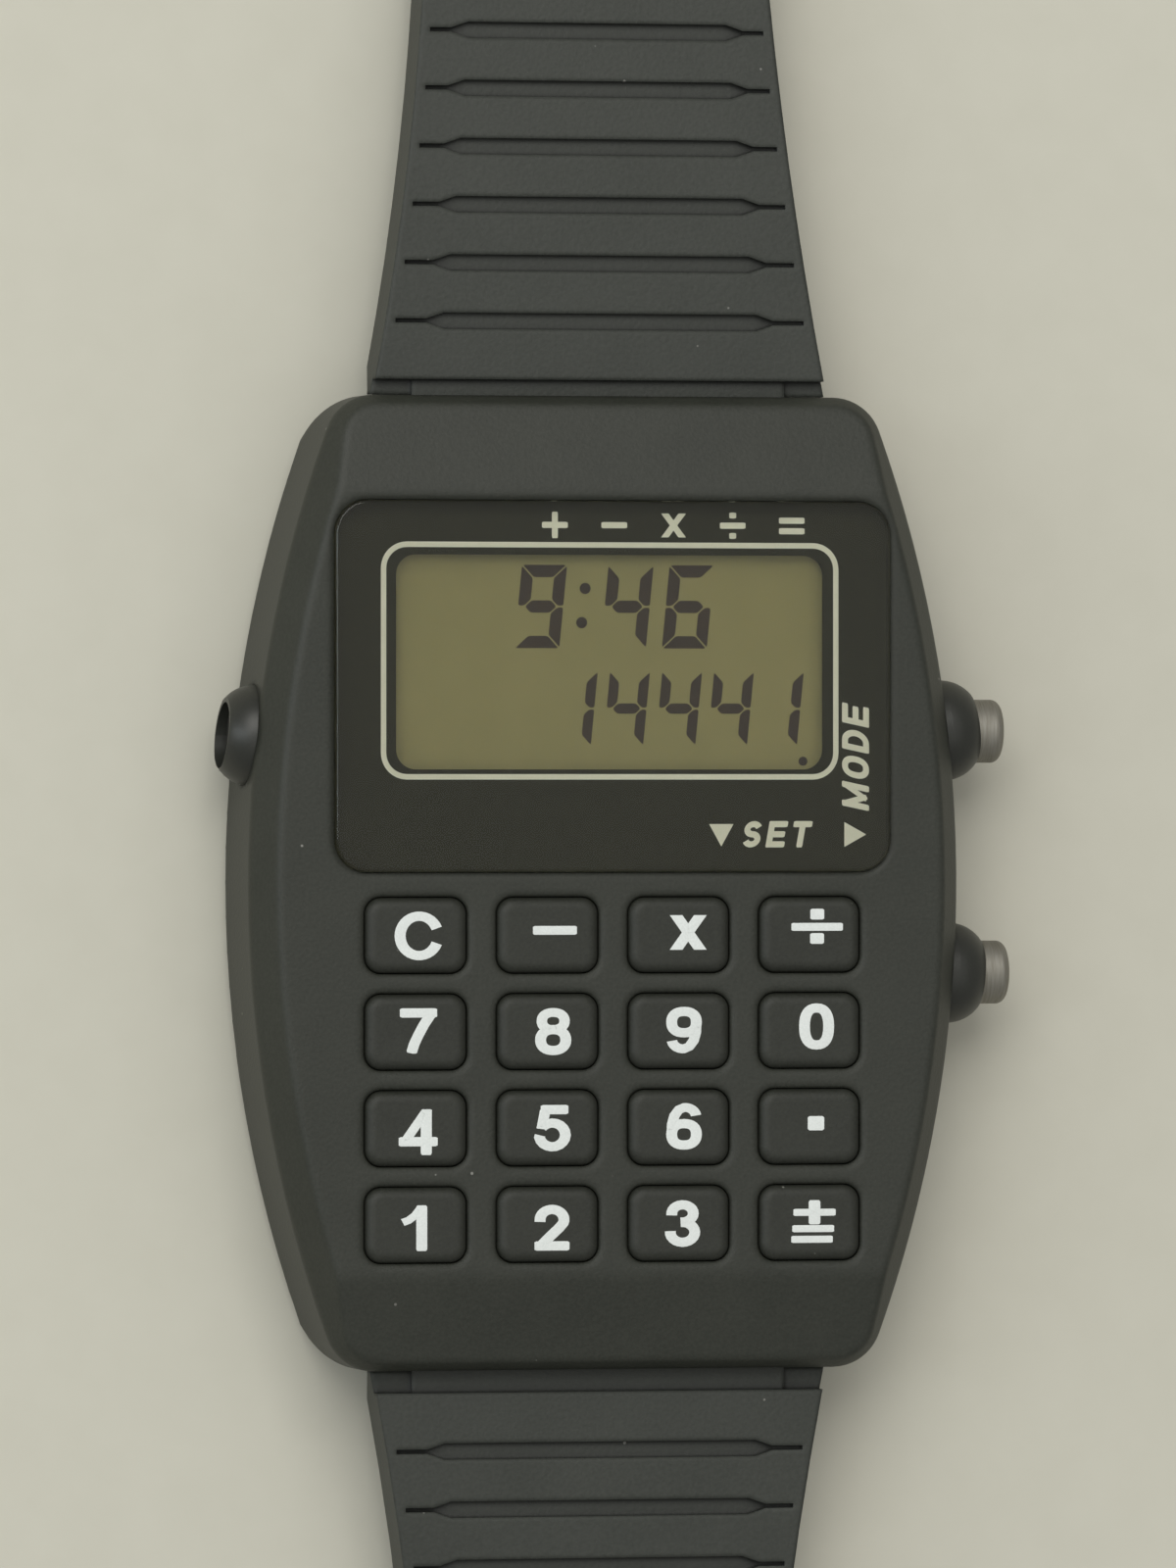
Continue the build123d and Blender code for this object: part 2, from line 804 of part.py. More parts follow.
def make_bar_tips():
    """Four stepped tips that reach into the holes in the lugs."""
    tips = []
    tip_end = strap_notch_half_width + bar_tip_hole_depth - seat_gap
    head_end = tongue_half_width - bar_tip_head_length
    head_radius = bar_tube_bore_radius - thread_gap
    for y in (bar_y, -bar_y):
        for side in (1, -1):
            tip = rod(bar_tip_radius, head_end, tip_end)
            tip += rod(head_radius, head_end - bar_tip_head_length, head_end)
            turned = tip if side > 0 else Rot(0, 0, 180) * tip
            tips.append(Pos(0, y, bar_z) * turned)
    return Compound(children=tips)


def make_bar_springs():
    """The coil inside each spring bar that pushes its two tips apart."""
    half = tongue_half_width - 2 * bar_tip_head_length - bar_spring_wire_radius
    mean = bar_tube_bore_radius - bar_spring_wire_radius - running_gap
    springs = []
    for y in (bar_y, -bar_y):
        spring = coil(mean, bar_spring_wire_radius, 2 * half, bar_spring_turns)
        springs.append(Pos(-half, y, bar_z) * Rot(0, 90, 0) * spring)
    return Compound(children=springs)


# Strap


class Fall:
    """The strap's way from the case down to its resting height: two even arcs."""

    def __init__(self, length, end_z):
        self.length = length
        self.drop = bar_z - end_z
        self.end_z = end_z
        self.radius = (length**2 + self.drop**2) / (4 * self.drop)
        self.angle = asin(length / 2 / self.radius)
        self.end_y = strap_start_y + length

    def first_arc(self, offset, angle):
        """Point on the arc that bends down, at an offset above the middle line."""
        r = self.radius + offset
        return (0, strap_start_y + r * sin(angle), bar_z - self.radius + r * cos(angle))

    def second_arc(self, offset, angle):
        """Point on the arc that levels out, at an offset above the middle line."""
        r = self.radius - offset
        return (0, self.end_y - r * sin(angle), self.end_z + self.radius - r * cos(angle))

    def arcs(self, offset):
        """Both arcs of one face of the strap, from the case outwards."""
        a = self.angle
        first = [self.first_arc(offset, share * a) for share in (0, 1 / 2, 1)]
        second = [self.second_arc(offset, share * a) for share in (1, 1 / 2, 0)]
        return [ThreePointArc(*first), ThreePointArc(*second)]

    def top(self, y):
        """Height of the top face and its downward slope in degrees at y."""
        middle_y = strap_start_y + self.length / 2
        if y >= self.end_y:
            return self.end_z + strap_half_thickness, 0
        if y <= middle_y:
            r = self.radius + strap_half_thickness
            angle = asin((y - strap_start_y) / r)
            return bar_z - self.radius + r * cos(angle), degrees(angle)
        r = self.radius - strap_half_thickness
        angle = asin((self.end_y - y) / r)
        return self.end_z + self.radius - r * cos(angle), degrees(angle)


def strap_half_width(y):
    """Half width of the strap at a place y out from the dial's middle."""
    taper_end = strap_start_y + strap_taper_length
    if y >= taper_end:
        return strap_end_half_width
    arc = taper_radius()
    return strap_end_half_width + arc - sqrt(arc**2 - (taper_end - y) ** 2)


def taper_radius():
    """Radius of the arc that narrows the strap and ends in line with its straight part."""
    narrowing = strap_start_half_width - strap_end_half_width
    return (strap_taper_length**2 + narrowing**2) / (2 * narrowing)


def strap_side_outline(fall, end_y):
    """Side view of a strap half: round ends about the spring bar and at end_y."""
    h = strap_half_thickness
    edges = [ThreePointArc((0, bar_y, bar_z - h), (0, bar_y - h, bar_z), (0, bar_y, bar_z + h))]
    edges.append(Line((0, bar_y, bar_z + h), (0, strap_start_y, bar_z + h)))
    edges += fall.arcs(h)
    edges.append(Line((0, fall.end_y, fall.end_z + h), (0, end_y, fall.end_z + h)))
    edges.append(
        ThreePointArc((0, end_y, fall.end_z + h), (0, end_y + h, fall.end_z), (0, end_y, fall.end_z - h))
    )
    edges.append(Line((0, end_y, fall.end_z - h), (0, fall.end_y, fall.end_z - h)))
    edges += fall.arcs(-h)
    edges.append(Line((0, strap_start_y, bar_z - h), (0, bar_y, bar_z - h)))
    return edges


def strap_plan(end_y, bulge):
    """Plan of a strap half: tongue, shoulders, taper, straight part and end."""
    taper_end = strap_start_y + strap_taper_length
    middle_y = strap_start_y + strap_taper_length / 2
    inner = bar_y - strap_thickness
    w = strap_end_half_width
    right = [
        Line((tongue_half_width, inner), (tongue_half_width, strap_start_y)),
        Line((tongue_half_width, strap_start_y), (strap_start_half_width, strap_start_y)),
        ThreePointArc(
            (strap_start_half_width, strap_start_y), (strap_half_width(middle_y), middle_y), (w, taper_end)
        ),
        Line((w, taper_end), (w, end_y)),
    ]
    left = [edge.mirror(Plane.YZ) for edge in right]
    closing = [Line((-tongue_half_width, inner), (tongue_half_width, inner))]
    if bulge:
        closing.append(ThreePointArc((w, end_y), (0, end_y + bulge), (-w, end_y)))
    else:
        closing.append(Line((w, end_y), (-w, end_y)))
    return make_face(right + left + closing)


def groove_cutter(y, fall):
    """One groove across the top: wide in the middle, thin lines almost to both edges."""
    half = strap_half_width(y)
    wide = half * groove_wide_share
    narrow = wide + groove_taper_length
    out = half - groove_end_margin
    a, b = groove_width / 2, thin_groove_width / 2
    right = [(wide, a), (narrow, b), (out, b), (out, -b), (narrow, -b), (wide, -a)]
    left = [(-x, -v) for x, v in right]
    shape = make_face(Polyline(*right, *left, close=True))
    z, slope = fall.top(y)
    cutter = extrude(Pos(0, 0, -groove_depth) * shape, amount=groove_depth + overrun)
    return Pos(0, y, z) * Rot(-slope, 0, 0) * cutter


def make_strap(fall, round_end_y, plan, step_length, groove_count):
    """A strap half as it lies open, made towards +Y, with a round far end."""
    side = yz_prism(strap_side_outline(fall, round_end_y), strap_start_half_width + overrun)
    strap = side & slab(plan, -overrun, case_height)
    top = bar_z + strap_half_thickness
    knuckle_end = bar_y + strap_half_thickness
    panel_y = case_half_length + step_length
    reach = strap_start_half_width + overrun
    strap -= box_between((-reach, knuckle_end, top - end_step_depth), (reach, panel_y, case_height))
    for low_x, high_x in ((-reach, -tongue_half_width), (tongue_half_width, reach)):
        low = (low_x, strap_start_y - overrun, top - shoulder_step_depth)
        strap -= box_between(low, (high_x, panel_y, case_height))
    bottom = bar_z - strap_half_thickness
    inner_y = strap_start_y - overrun
    outer_y = strap_start_y + shoulder_cut_run
    under = [(inner_y, bar_z), (strap_start_y, bar_z), (outer_y, bottom)]
    under += [(outer_y, bottom - overrun), (inner_y, bottom - overrun)]
    wedge = yz_prism(yz_polygon(under), reach)
    tongue_low = (-tongue_half_width, bar_y - strap_thickness, -overrun)
    strap -= wedge - box_between(tongue_low, (tongue_half_width, buckle_y, case_height))
    for k in range(groove_count):
        strap -= groove_cutter(panel_y + (k + 1) * rib_pitch, fall)
    bore = bar_tube_radius + running_gap
    return strap - rod(bore, -reach, reach, y=bar_y, z=bar_z)


def make_upper_strap():
    """Buckle half: its far end is a hinge knuckle with a slot for the tongue."""
    fall = Fall(upper_fall_length, upper_end_z)
    plan = strap_plan(buckle_y + strap_thickness, 0)
    strap = make_strap(fall, buckle_y, plan, upper_step_length, upper_groove_count)
    reach = strap_end_half_width + overrun
    strap -= rod(buckle_bar_radius + running_gap, -reach, reach, y=buckle_y, z=upper_end_z)
    slot = tongue_width / 2 + tongue_slot_gap
    low = (-slot, buckle_y - tongue_slot_length, 0)
    high = (slot, buckle_y + strap_thickness, case_height)
    return strap - box_between(low, high)


def make_lower_strap():
    """Tail half: ribbed near the case, then a row of holes and a rounded tip."""
    fall = Fall(lower_fall_length, lower_end_z)
    plan = strap_plan(tail_y - strap_tip_bulge, strap_tip_bulge)
    round_end_y = tail_y - strap_half_thickness
    strap = make_strap(fall, round_end_y, plan, lower_step_length, lower_groove_count)
    for k in range(tail_hole_count):
        y = strap_start_y + tail_hole_start + k * tail_hole_pitch
        hole = slab(Circle(tail_hole_radius), -overrun, case_height)
        strap -= Pos(0, y, 0) * hole
    return Rot(0, 0, 180) * strap


# Buckle and keeper


def make_buckle_frame():
    """Steel loop: two arms on the buckle bar and a round front bar on the table."""
    front_y = buckle_y + strap_half_thickness + buckle_window_length
    inner = strap_end_half_width + buckle_arm_gap
    outer = inner + buckle_arm_width
    frame = rod(buckle_wire_radius, -outer, outer, y=front_y, z=buckle_wire_radius)
    run = front_y - buckle_y
    rise = upper_end_z - buckle_wire_radius
    length = sqrt(run**2 + rise**2)
    tilt = degrees(asin(rise / length))
    for sign in (1, -1):
        arm = SlotCenterToCenter(length, 2 * buckle_wire_radius)
        arm = extrude(arm, amount=buckle_arm_width / 2, both=True)
        arm = Rot(-tilt, 0, 0) * Rot(0, 90, 0) * Rot(0, 0, 90) * arm
        middle_y = (front_y + buckle_y) / 2
        middle_z = (upper_end_z + buckle_wire_radius) / 2
        frame += Pos(sign * (inner + outer) / 2, middle_y, middle_z) * arm
    hole = outer - buckle_pin_inset
    return frame - rod(buckle_bar_radius + thread_gap, -hole, hole, y=buckle_y, z=upper_end_z)


def make_buckle_bar():
    """Steel bar through the strap's knuckle and the buckle's arms."""
    end = strap_end_half_width + buckle_arm_gap + buckle_arm_width - buckle_pin_inset
    return rod(buckle_bar_radius, -end, end, y=buckle_y, z=upper_end_z)


def make_buckle_tongue():
    """Tongue that turns on the buckle bar and rests on the front bar."""
    inner = buckle_bar_radius + running_gap
    outer = inner + tongue_ring_wall
    half = tongue_width / 2
    front_y = buckle_y + strap_half_thickness + buckle_window_length
    tip_y = front_y + tongue_overhang
    arm_z = 2 * buckle_wire_radius + running_gap
    arm = box_between((-half, buckle_y, arm_z), (half, tip_y, arm_z + tongue_thickness))
    tip = arm.edges().filter_by(Axis.Z).group_by(Axis.Y)[-1]
    arm = fillet(tip, half - seat_gap)
    arm = fillet(arm.edges().group_by(Axis.Z)[-1].group_by(Axis.Y)[-1], tongue_tip_radius)
    tongue = arm + rod(outer, -half, half, y=buckle_y, z=upper_end_z)
    return tongue - rod(inner, -half - overrun, half + overrun, y=buckle_y, z=upper_end_z)


def make_keeper_loop():
    """Resin loop that slides on the buckle half, with room above for the tail."""
    y = buckle_y - keeper_from_bar
    half_inner = strap_end_half_width + keeper_side_gap
    half_outer = half_inner + keeper_wall
    inner_low = keeper_wall
    inner_high = inner_low + keeper_gap + 2 * strap_thickness + 2 * keeper_gap
    low = (-half_outer, y - keeper_length / 2, 0)
    high = (half_outer, y + keeper_length / 2, inner_high + keeper_wall)
    loop = box_between(low, high)
    loop = fillet(loop.edges().filter_by(Axis.Y), keeper_wall)
    inner_corner = (-half_inner, low[1] - overrun, inner_low)
    inner = box_between(inner_corner, (half_inner, high[1] + overrun, inner_high))
    inner = fillet(inner.edges().filter_by(Axis.Y), keeper_edge_radius)
    return loop - inner


def all_nodes():
    """Every named piece of the watch."""
    nodes = {
        "case_shell": make_case_shell(),
        "case_back": make_case_back(),
        "back_gasket": make_back_gasket(),
        "back_screws": make_back_screws(),
        "crystal": make_crystal(),
        "window_mask": make_window_mask(),
        "lcd_panel": panel_block(0, panel_bottom_z, panel_top_z),
        "lcd_reflector": make_lcd_reflector(),
        "lcd_holder": make_lcd_holder(),
        "connector_strips": make_connector_strips(),
        "circuit_board": make_circuit_board(),
        "module_frame": make_module_frame(),
        "chip_blob": make_chip_blob(),
        "quartz_can": make_quartz_can(),
        "battery": make_battery(),
        "battery_clip": make_battery_clip(),
        "battery_spring": make_battery_spring(),
        "pusher_contacts": make_pusher_contacts(),
        "keypad_web": make_keypad_web(),
        "upper_bar_tube": make_bar_tube(1),
        "lower_bar_tube": make_bar_tube(-1),
        "bar_tips": make_bar_tips(),
        "bar_springs": make_bar_springs(),
        "upper_strap": make_upper_strap(),
        "lower_strap": make_lower_strap(),
        "buckle_frame": make_buckle_frame(),
        "buckle_bar": make_buckle_bar(),
        "buckle_tongue": make_buckle_tongue(),
        "keeper_loop": make_keeper_loop(),
    }
    for name, x, y in key_places():
        nodes[f"key_{name}"] = make_key(x, y)
    for button in buttons:
        nodes[f"{button.name}_collar"] = make_collar(button)
        nodes[f"{button.name}_pin"] = make_pin(button)
        nodes[f"{button.name}_o_ring"] = make_o_ring(button)
        nodes[f"{button.name}_retainer"] = make_retainer(button)
        nodes[f"{button.name}_spring"] = make_return_spring(button)
    return nodes


os.makedirs("parts", exist_ok=True)
for node, shape in all_nodes().items():
    export_step(shape, f"parts/{node}.step")
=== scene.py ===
"""Looks of a digital calculator watch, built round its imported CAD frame.

Metres. +X points to 3 o'clock, +Y to 12 o'clock and +Z out of the display, as in the frame.
Sizes are written in millimetres and carry the unit mm.
"""

import math

import bpy
from mathutils import Matrix, Vector


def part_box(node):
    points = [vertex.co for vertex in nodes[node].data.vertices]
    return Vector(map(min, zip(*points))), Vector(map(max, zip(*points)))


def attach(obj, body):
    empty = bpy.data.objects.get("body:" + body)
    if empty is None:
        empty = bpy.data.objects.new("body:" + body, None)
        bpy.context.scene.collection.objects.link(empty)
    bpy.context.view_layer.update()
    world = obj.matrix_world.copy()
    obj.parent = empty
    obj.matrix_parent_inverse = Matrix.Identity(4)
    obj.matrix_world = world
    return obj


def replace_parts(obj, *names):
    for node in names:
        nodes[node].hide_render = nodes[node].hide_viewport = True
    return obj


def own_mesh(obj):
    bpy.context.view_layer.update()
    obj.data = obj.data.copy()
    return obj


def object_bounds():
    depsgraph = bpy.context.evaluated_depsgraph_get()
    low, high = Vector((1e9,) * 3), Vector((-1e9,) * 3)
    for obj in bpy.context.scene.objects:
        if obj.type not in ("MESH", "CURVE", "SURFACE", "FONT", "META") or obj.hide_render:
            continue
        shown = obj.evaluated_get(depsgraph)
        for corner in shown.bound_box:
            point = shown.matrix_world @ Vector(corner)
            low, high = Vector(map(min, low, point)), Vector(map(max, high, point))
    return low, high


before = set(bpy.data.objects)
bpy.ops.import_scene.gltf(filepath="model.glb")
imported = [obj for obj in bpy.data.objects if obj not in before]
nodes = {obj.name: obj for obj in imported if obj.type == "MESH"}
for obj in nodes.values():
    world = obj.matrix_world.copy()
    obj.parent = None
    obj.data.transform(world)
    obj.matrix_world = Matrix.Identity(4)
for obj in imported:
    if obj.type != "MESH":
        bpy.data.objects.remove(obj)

mm = 0.001
cad_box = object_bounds()
bpy.ops.object.select_all(action="DESELECT")


# The photograph's frame, and how its pixels lie on the watch

image_width = 1200
image_height = 1600
pixels_per_mm = 22.54
view_angle = math.radians(13)
camera_distance = 600 * mm
case_centre_pixel = (626, 901)
face_z = 8.0
crystal_index = 1.35
crystal_top_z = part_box("crystal")[1].z / mm
mask_top_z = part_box("window_mask")[1].z / mm
panel_top_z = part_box("lcd_panel")[1].z / mm
key_top_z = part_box("key_5")[1].z / mm
sideways_air = math.tan(view_angle)
sideways_glass = math.tan(math.asin(math.sin(view_angle) / crystal_index))


def shift_to(z, under_crystal=False):
    """How far left of its true place a point at height z shows, against the face plane, in mm."""
    if not under_crystal:
        return (face_z - z) * sideways_air
    in_glass = crystal_top_z - max(z, mask_top_z)
    in_air = max(mask_top_z - z, 0) - (crystal_top_z - face_z)
    return in_glass * sideways_glass + in_air * sideways_air


def on_plane(pixel_x, pixel_y, shift):
    """The place in mm on the watch that shows at a pixel of the photograph."""
    x = (pixel_x - case_centre_pixel[0]) / (pixels_per_mm * math.cos(view_angle)) + shift
    y = (case_centre_pixel[1] - pixel_y) / pixels_per_mm
    return x, y


# Shared effects: node groups that give heights, masks and values


def make_group(name, inputs, outputs):
    """An empty node group with number inputs and outputs, and its two end nodes."""
    group = bpy.data.node_groups.new(name, "ShaderNodeTree")
    for label, value in inputs:
        socket = group.interface.new_socket(label, in_out="INPUT", socket_type="NodeSocketFloat")
        socket.default_value = value
    for label in outputs:
        group.interface.new_socket(label, in_out="OUTPUT", socket_type="NodeSocketFloat")
    return group, group.nodes.new("NodeGroupInput"), group.nodes.new("NodeGroupOutput")


def add(tree, kind, **settings):
    """A node with its settings; a setting that isn't the node's own sets an input's value."""
    node = tree.nodes.new(kind)
    for key, value in settings.items():
        if hasattr(node, key):
            setattr(node, key, value)
        else:
            node.inputs[key.replace("_", " ")].default_value = value
    return node


def scaled_place(tree, size_socket):
    """Object coordinates divided by a size, so that one unit is one grain."""
    place = add(tree, "ShaderNodeTexCoord")
    divide = add(tree, "ShaderNodeMath", operation="DIVIDE")
    divide.inputs[0].default_value = 1
    tree.links.new(size_socket, divide.inputs[1])
    scale = add(tree, "ShaderNodeVectorMath", operation="SCALE")
    tree.links.new(place.outputs["Object"], scale.inputs[0])
    tree.links.new(divide.outputs[0], scale.inputs["Scale"])
    return scale.outputs[0]


def ranged(tree, source, low, high, to_low=0.0, to_high=1.0):
    """A value mapped from one range to another, clamped."""
    node = add(tree, "ShaderNodeMapRange")
    for label, value in (("From Min", low), ("From Max", high), ("To Min", to_low), ("To Max", to_high)):
        node.inputs[label].default_value = value
    tree.links.new(source, node.inputs["Value"])
    return node.outputs["Result"]


def maths(tree, operation, first, second):
    """One arithmetic step on two sockets, or a socket and a number."""
    node = add(tree, "ShaderNodeMath", operation=operation)
    for slot, value in ((0, first), (1, second)):
        if isinstance(value, (int, float)):
            node.inputs[slot].default_value = value
        else:
            tree.links.new(value, node.inputs[slot])
    return node.outputs[0]


def make_moulded_grain():
    """Spark-eroded mould texture: fine pits with a slow mottle under them."""
    group, start, end = make_group("moulded_grain", [("Grain Size", 0.1 * mm)], ["Height", "Mottle"])
    place = scaled_place(group, start.outputs["Grain Size"])
    pits = add(group, "ShaderNodeTexNoise", Scale=1.0, Detail=3.0, Roughness=0.6)
    group.links.new(place, pits.inputs["Vector"])
    cells = add(group, "ShaderNodeTexVoronoi", Scale=0.7)
    group.links.new(place, cells.inputs["Vector"])
    slow = add(group, "ShaderNodeTexNoise", Scale=0.045, Detail=4.0, Roughness=0.55)
    group.links.new(place, slow.inputs["Vector"])
    height = maths(group, "ADD", pits.outputs[0], maths(group, "MULTIPLY", cells.outputs["Distance"], 0.35))
    group.links.new(height, end.inputs["Height"])
    broad = ranged(group, slow.outputs[0], 0.3, 0.7)
    fine = ranged(group, pits.outputs[0], 0.35, 0.65)
    mottle = maths(group, "ADD", maths(group, "MULTIPLY", broad, 0.4), maths(group, "MULTIPLY", fine, 0.6))
    group.links.new(mottle, end.inputs["Mottle"])
    return group


def make_edge_wear_and_highlight():
    """Mask of edges, worn bright and painted with a highlight, broken up by noise."""
    group, start, end = make_group("edge_wear_and_highlight", [("Radius", 0.12 * mm), ("Noise Size", 0.8 * mm)], ["Mask"])
    soft = add(group, "ShaderNodeBevel", samples=4)
    group.links.new(start.outputs["Radius"], soft.inputs["Radius"])
    surface = add(group, "ShaderNodeNewGeometry")
    dot = add(group, "ShaderNodeVectorMath", operation="DOT_PRODUCT")
    group.links.new(soft.outputs[0], dot.inputs[0])
    group.links.new(surface.outputs["Normal"], dot.inputs[1])
    edge = ranged(group, dot.outputs["Value"], 0.995, 0.85)
    noise = add(group, "ShaderNodeTexNoise", Scale=1.0, Detail=3.0)
    group.links.new(scaled_place(group, start.outputs["Noise Size"]), noise.inputs["Vector"])
    patches = ranged(group, noise.outputs[0], 0.4, 0.65)
    group.links.new(maths(group, "MULTIPLY", edge, patches), end.inputs["Mask"])
    return group


def make_crease_shade():
    """Mask of the corners and grooves, for painted shade where nearby surfaces close in."""
    group, start, end = make_group("crease_shade", [("Reach", 0.4 * mm)], ["Mask"])
    hollow = add(group, "ShaderNodeAmbientOcclusion", samples=6, only_local=True)
    group.links.new(start.outputs["Reach"], hollow.inputs["Distance"])
    group.links.new(ranged(group, hollow.outputs["AO"], 0.95, 0.45), end.inputs["Mask"])
    return group


def make_fine_specks():
    """Mask of sparse small dust specks."""
    group, start, end = make_group("fine_specks", [("Spacing", 1.6 * mm)], ["Mask"])
    place = scaled_place(group, start.outputs["Spacing"])
    cells = add(group, "ShaderNodeTexVoronoi", Scale=1.0)
    group.links.new(place, cells.inputs["Vector"])
    near = ranged(group, cells.outputs["Distance"], 0.05, 0.03)
    pick = add(group, "ShaderNodeSeparateColor")
    group.links.new(cells.outputs["Color"], pick.inputs[0])
    chosen = ranged(group, pick.outputs[0], 0.72, 0.74)
    group.links.new(maths(group, "MULTIPLY", near, chosen), end.inputs["Mask"])
    return group


def make_brushed_lines():
    """Fine parallel scratches along one axis: a height and a broken-up sheen."""
    group, start, end = make_group(
        "brushed_lines",
        [("Line Width", 0.05 * mm), ("Along X", 0.03), ("Along Y", 1.0), ("Along Z", 1.0)],
        ["Height", "Streaks"],
    )
    place = scaled_place(group, start.outputs["Line Width"])
    stretch = add(group, "ShaderNodeCombineXYZ")
    for axis in "XYZ":
        group.links.new(start.outputs[f"Along {axis}"], stretch.inputs[axis])
    product = add(group, "ShaderNodeVectorMath", operation="MULTIPLY")
    group.links.new(place, product.inputs[0])
    group.links.new(stretch.outputs[0], product.inputs[1])
    lines = add(group, "ShaderNodeTexNoise", Scale=1.0, Detail=2.0, Roughness=0.7)
    group.links.new(product.outputs[0], lines.inputs["Vector"])
    group.links.new(lines.outputs[0], end.inputs["Height"])
    group.links.new(ranged(group, lines.outputs[0], 0.35, 0.65), end.inputs["Streaks"])
    return group


def make_handling_marks():
    """Mask of broad, very soft smudges on a polished face."""
    group, start, end = make_group("handling_marks", [("Size", 5 * mm)], ["Mask"])
    smudges = add(group, "ShaderNodeTexNoise", Scale=1.0, Detail=0.0)
    group.links.new(scaled_place(group, start.outputs["Size"]), smudges.inputs["Vector"])
    group.links.new(ranged(group, smudges.outputs[0], 0.35, 0.7), end.inputs["Mask"])
    return group


moulded_grain = make_moulded_grain()
handling_marks = make_handling_marks()
edge_wear_and_highlight = make_edge_wear_and_highlight()
crease_shade = make_crease_shade()
fine_specks = make_fine_specks()
brushed_lines = make_brushed_lines()


# Materials


def place_group(tree, group, **values):
    """A copy of a shared effect in a material, with its own values."""
    node = tree.nodes.new("ShaderNodeGroup")
    node.node_tree = group
    for label, value in values.items():
        node.inputs[label.replace("_", " ")].default_value = value
    return node


def mixed(tree, mask, first, second):
    """Colour first where the mask is 0 and second where it is 1; first may be a socket."""
    node = add(tree, "ShaderNodeMix", data_type="RGBA")
    colours = [socket for socket in node.inputs if socket.type == "RGBA"]
    tree.links.new(mask, node.inputs[0])
    for socket, value in zip(colours, (first, second)):
        if isinstance(value, tuple):
            socket.default_value = (*value, 1)
        else:
            tree.links.new(value, socket)
    return [socket for socket in node.outputs if socket.type == "RGBA"][0]


def new_material(name):
    """A node material with its Principled shader."""
    material = bpy.data.materials.new(name)
    material.use_nodes = True
    tree = material.node_tree
    shader = tree.nodes["Principled BSDF"]
    return material, tree, shader


def bump(tree, shader, height, depth, edge_radius=0.0):
    """Feeds a height to the shader's normal, over edges that look rounded by a radius."""
    node = add(tree, "ShaderNodeBump", Strength=1.0, Distance=depth)
    tree.links.new(height, node.inputs["Height"])
    if edge_radius:
        soft = add(tree, "ShaderNodeBevel", samples=6)
        soft.inputs["Radius"].default_value = edge_radius
        tree.links.new(soft.outputs[0], node.inputs["Normal"])
    tree.links.new(node.outputs[0], shader.inputs["Normal"])


# How much lighter worn edges are painted: worn plastic and a painted edge highlight
wear_and_highlight_gain = 2.6
# How dark the painted shade in corners and grooves is, as a share of the colour
crease_share = 0.25
dust_colour = (0.4, 0.39, 0.36)
roughness_swing = 0.02


def plastic(
    name, colour, lighter, roughness,
    grain=0.12, depth=0.006, wear_and_highlight=0.25, specks=0.0, edge=0.0, shade=0.0, gloss=0.5,
):
    """Moulded resin or rubber: grain, a slow mottle, worn edges with a painted highlight, painted shade in
    the creases and a little dust.

    Grain, bump depth and edge radius are in mm; the shares of worn edges with their painted highlight, of
    specks and of painted crease shade run from 0 to 1.
    """
    material, tree, shader = new_material(name)
    grains = place_group(tree, moulded_grain, Grain_Size=grain * mm)
    base = mixed(tree, grains.outputs["Mottle"], colour, lighter)
    # Edges painted lighter: worn plastic together with a painted edge highlight
    if wear_and_highlight:
        rubbed_and_lit = place_group(tree, edge_wear_and_highlight, Radius=0.1 * mm, Noise_Size=1.2 * mm)
        mask = maths(tree, "MULTIPLY", rubbed_and_lit.outputs["Mask"], wear_and_highlight)
        base = mixed(tree, mask, base, tuple(min(1, wear_and_highlight_gain * c) for c in lighter))
    # Painted shade: corners and grooves darkened where nearby surfaces close in
    if shade:
        hollows = place_group(tree, crease_shade, Reach=0.5 * mm)
        mask = maths(tree, "MULTIPLY", hollows.outputs["Mask"], shade)
        base = mixed(tree, mask, base, tuple(crease_share * c for c in colour))
    if specks:
        dust = place_group(tree, fine_specks)
        mask = maths(tree, "MULTIPLY", dust.outputs["Mask"], specks)
        base = mixed(tree, mask, base, dust_colour)
    tree.links.new(base, shader.inputs["Base Color"])
    low, high = roughness - roughness_swing, roughness + roughness_swing
    tree.links.new(ranged(tree, grains.outputs["Mottle"], 0, 1, low, high), shader.inputs["Roughness"])
    shader.inputs["Specular IOR Level"].default_value = gloss
    bump(tree, shader, grains.outputs["Height"], depth * mm, edge * mm)
    return material


# How much lighter metal edges are painted: burnished metal and a painted edge highlight
burnish_and_highlight_gain = 1.5
dull_rise = 0.06
bright_drop = 0.04


def metal(name, colour, darker, roughness, line=0.05, along=(0.03, 1.0, 1.0), depth=0.002, wear_and_highlight=0.0):
    """Brushed or turned metal, streaked along one axis."""
    material, tree, shader = new_material(name)
    lines = place_group(
        tree, brushed_lines, Line_Width=line * mm, Along_X=along[0], Along_Y=along[1], Along_Z=along[2]
    )
    base = mixed(tree, lines.outputs["Streaks"], darker, colour)
    # Edges painted lighter: burnished metal together with a painted edge highlight
    if wear_and_highlight:
        rubbed_and_lit = place_group(tree, edge_wear_and_highlight, Radius=0.08 * mm, Noise_Size=0.6 * mm)
        mask = maths(tree, "MULTIPLY", rubbed_and_lit.outputs["Mask"], wear_and_highlight)
        base = mixed(tree, mask, base, tuple(min(1, burnish_and_highlight_gain * c) for c in colour))
    tree.links.new(base, shader.inputs["Base Color"])
    rough = ranged(tree, lines.outputs["Streaks"], 0, 1, roughness + dull_rise, roughness - bright_drop)
    tree.links.new(rough, shader.inputs["Roughness"])
    shader.inputs["Metallic"].default_value = 1.0
    bump(tree, shader, lines.outputs["Height"], depth * mm)
    return material


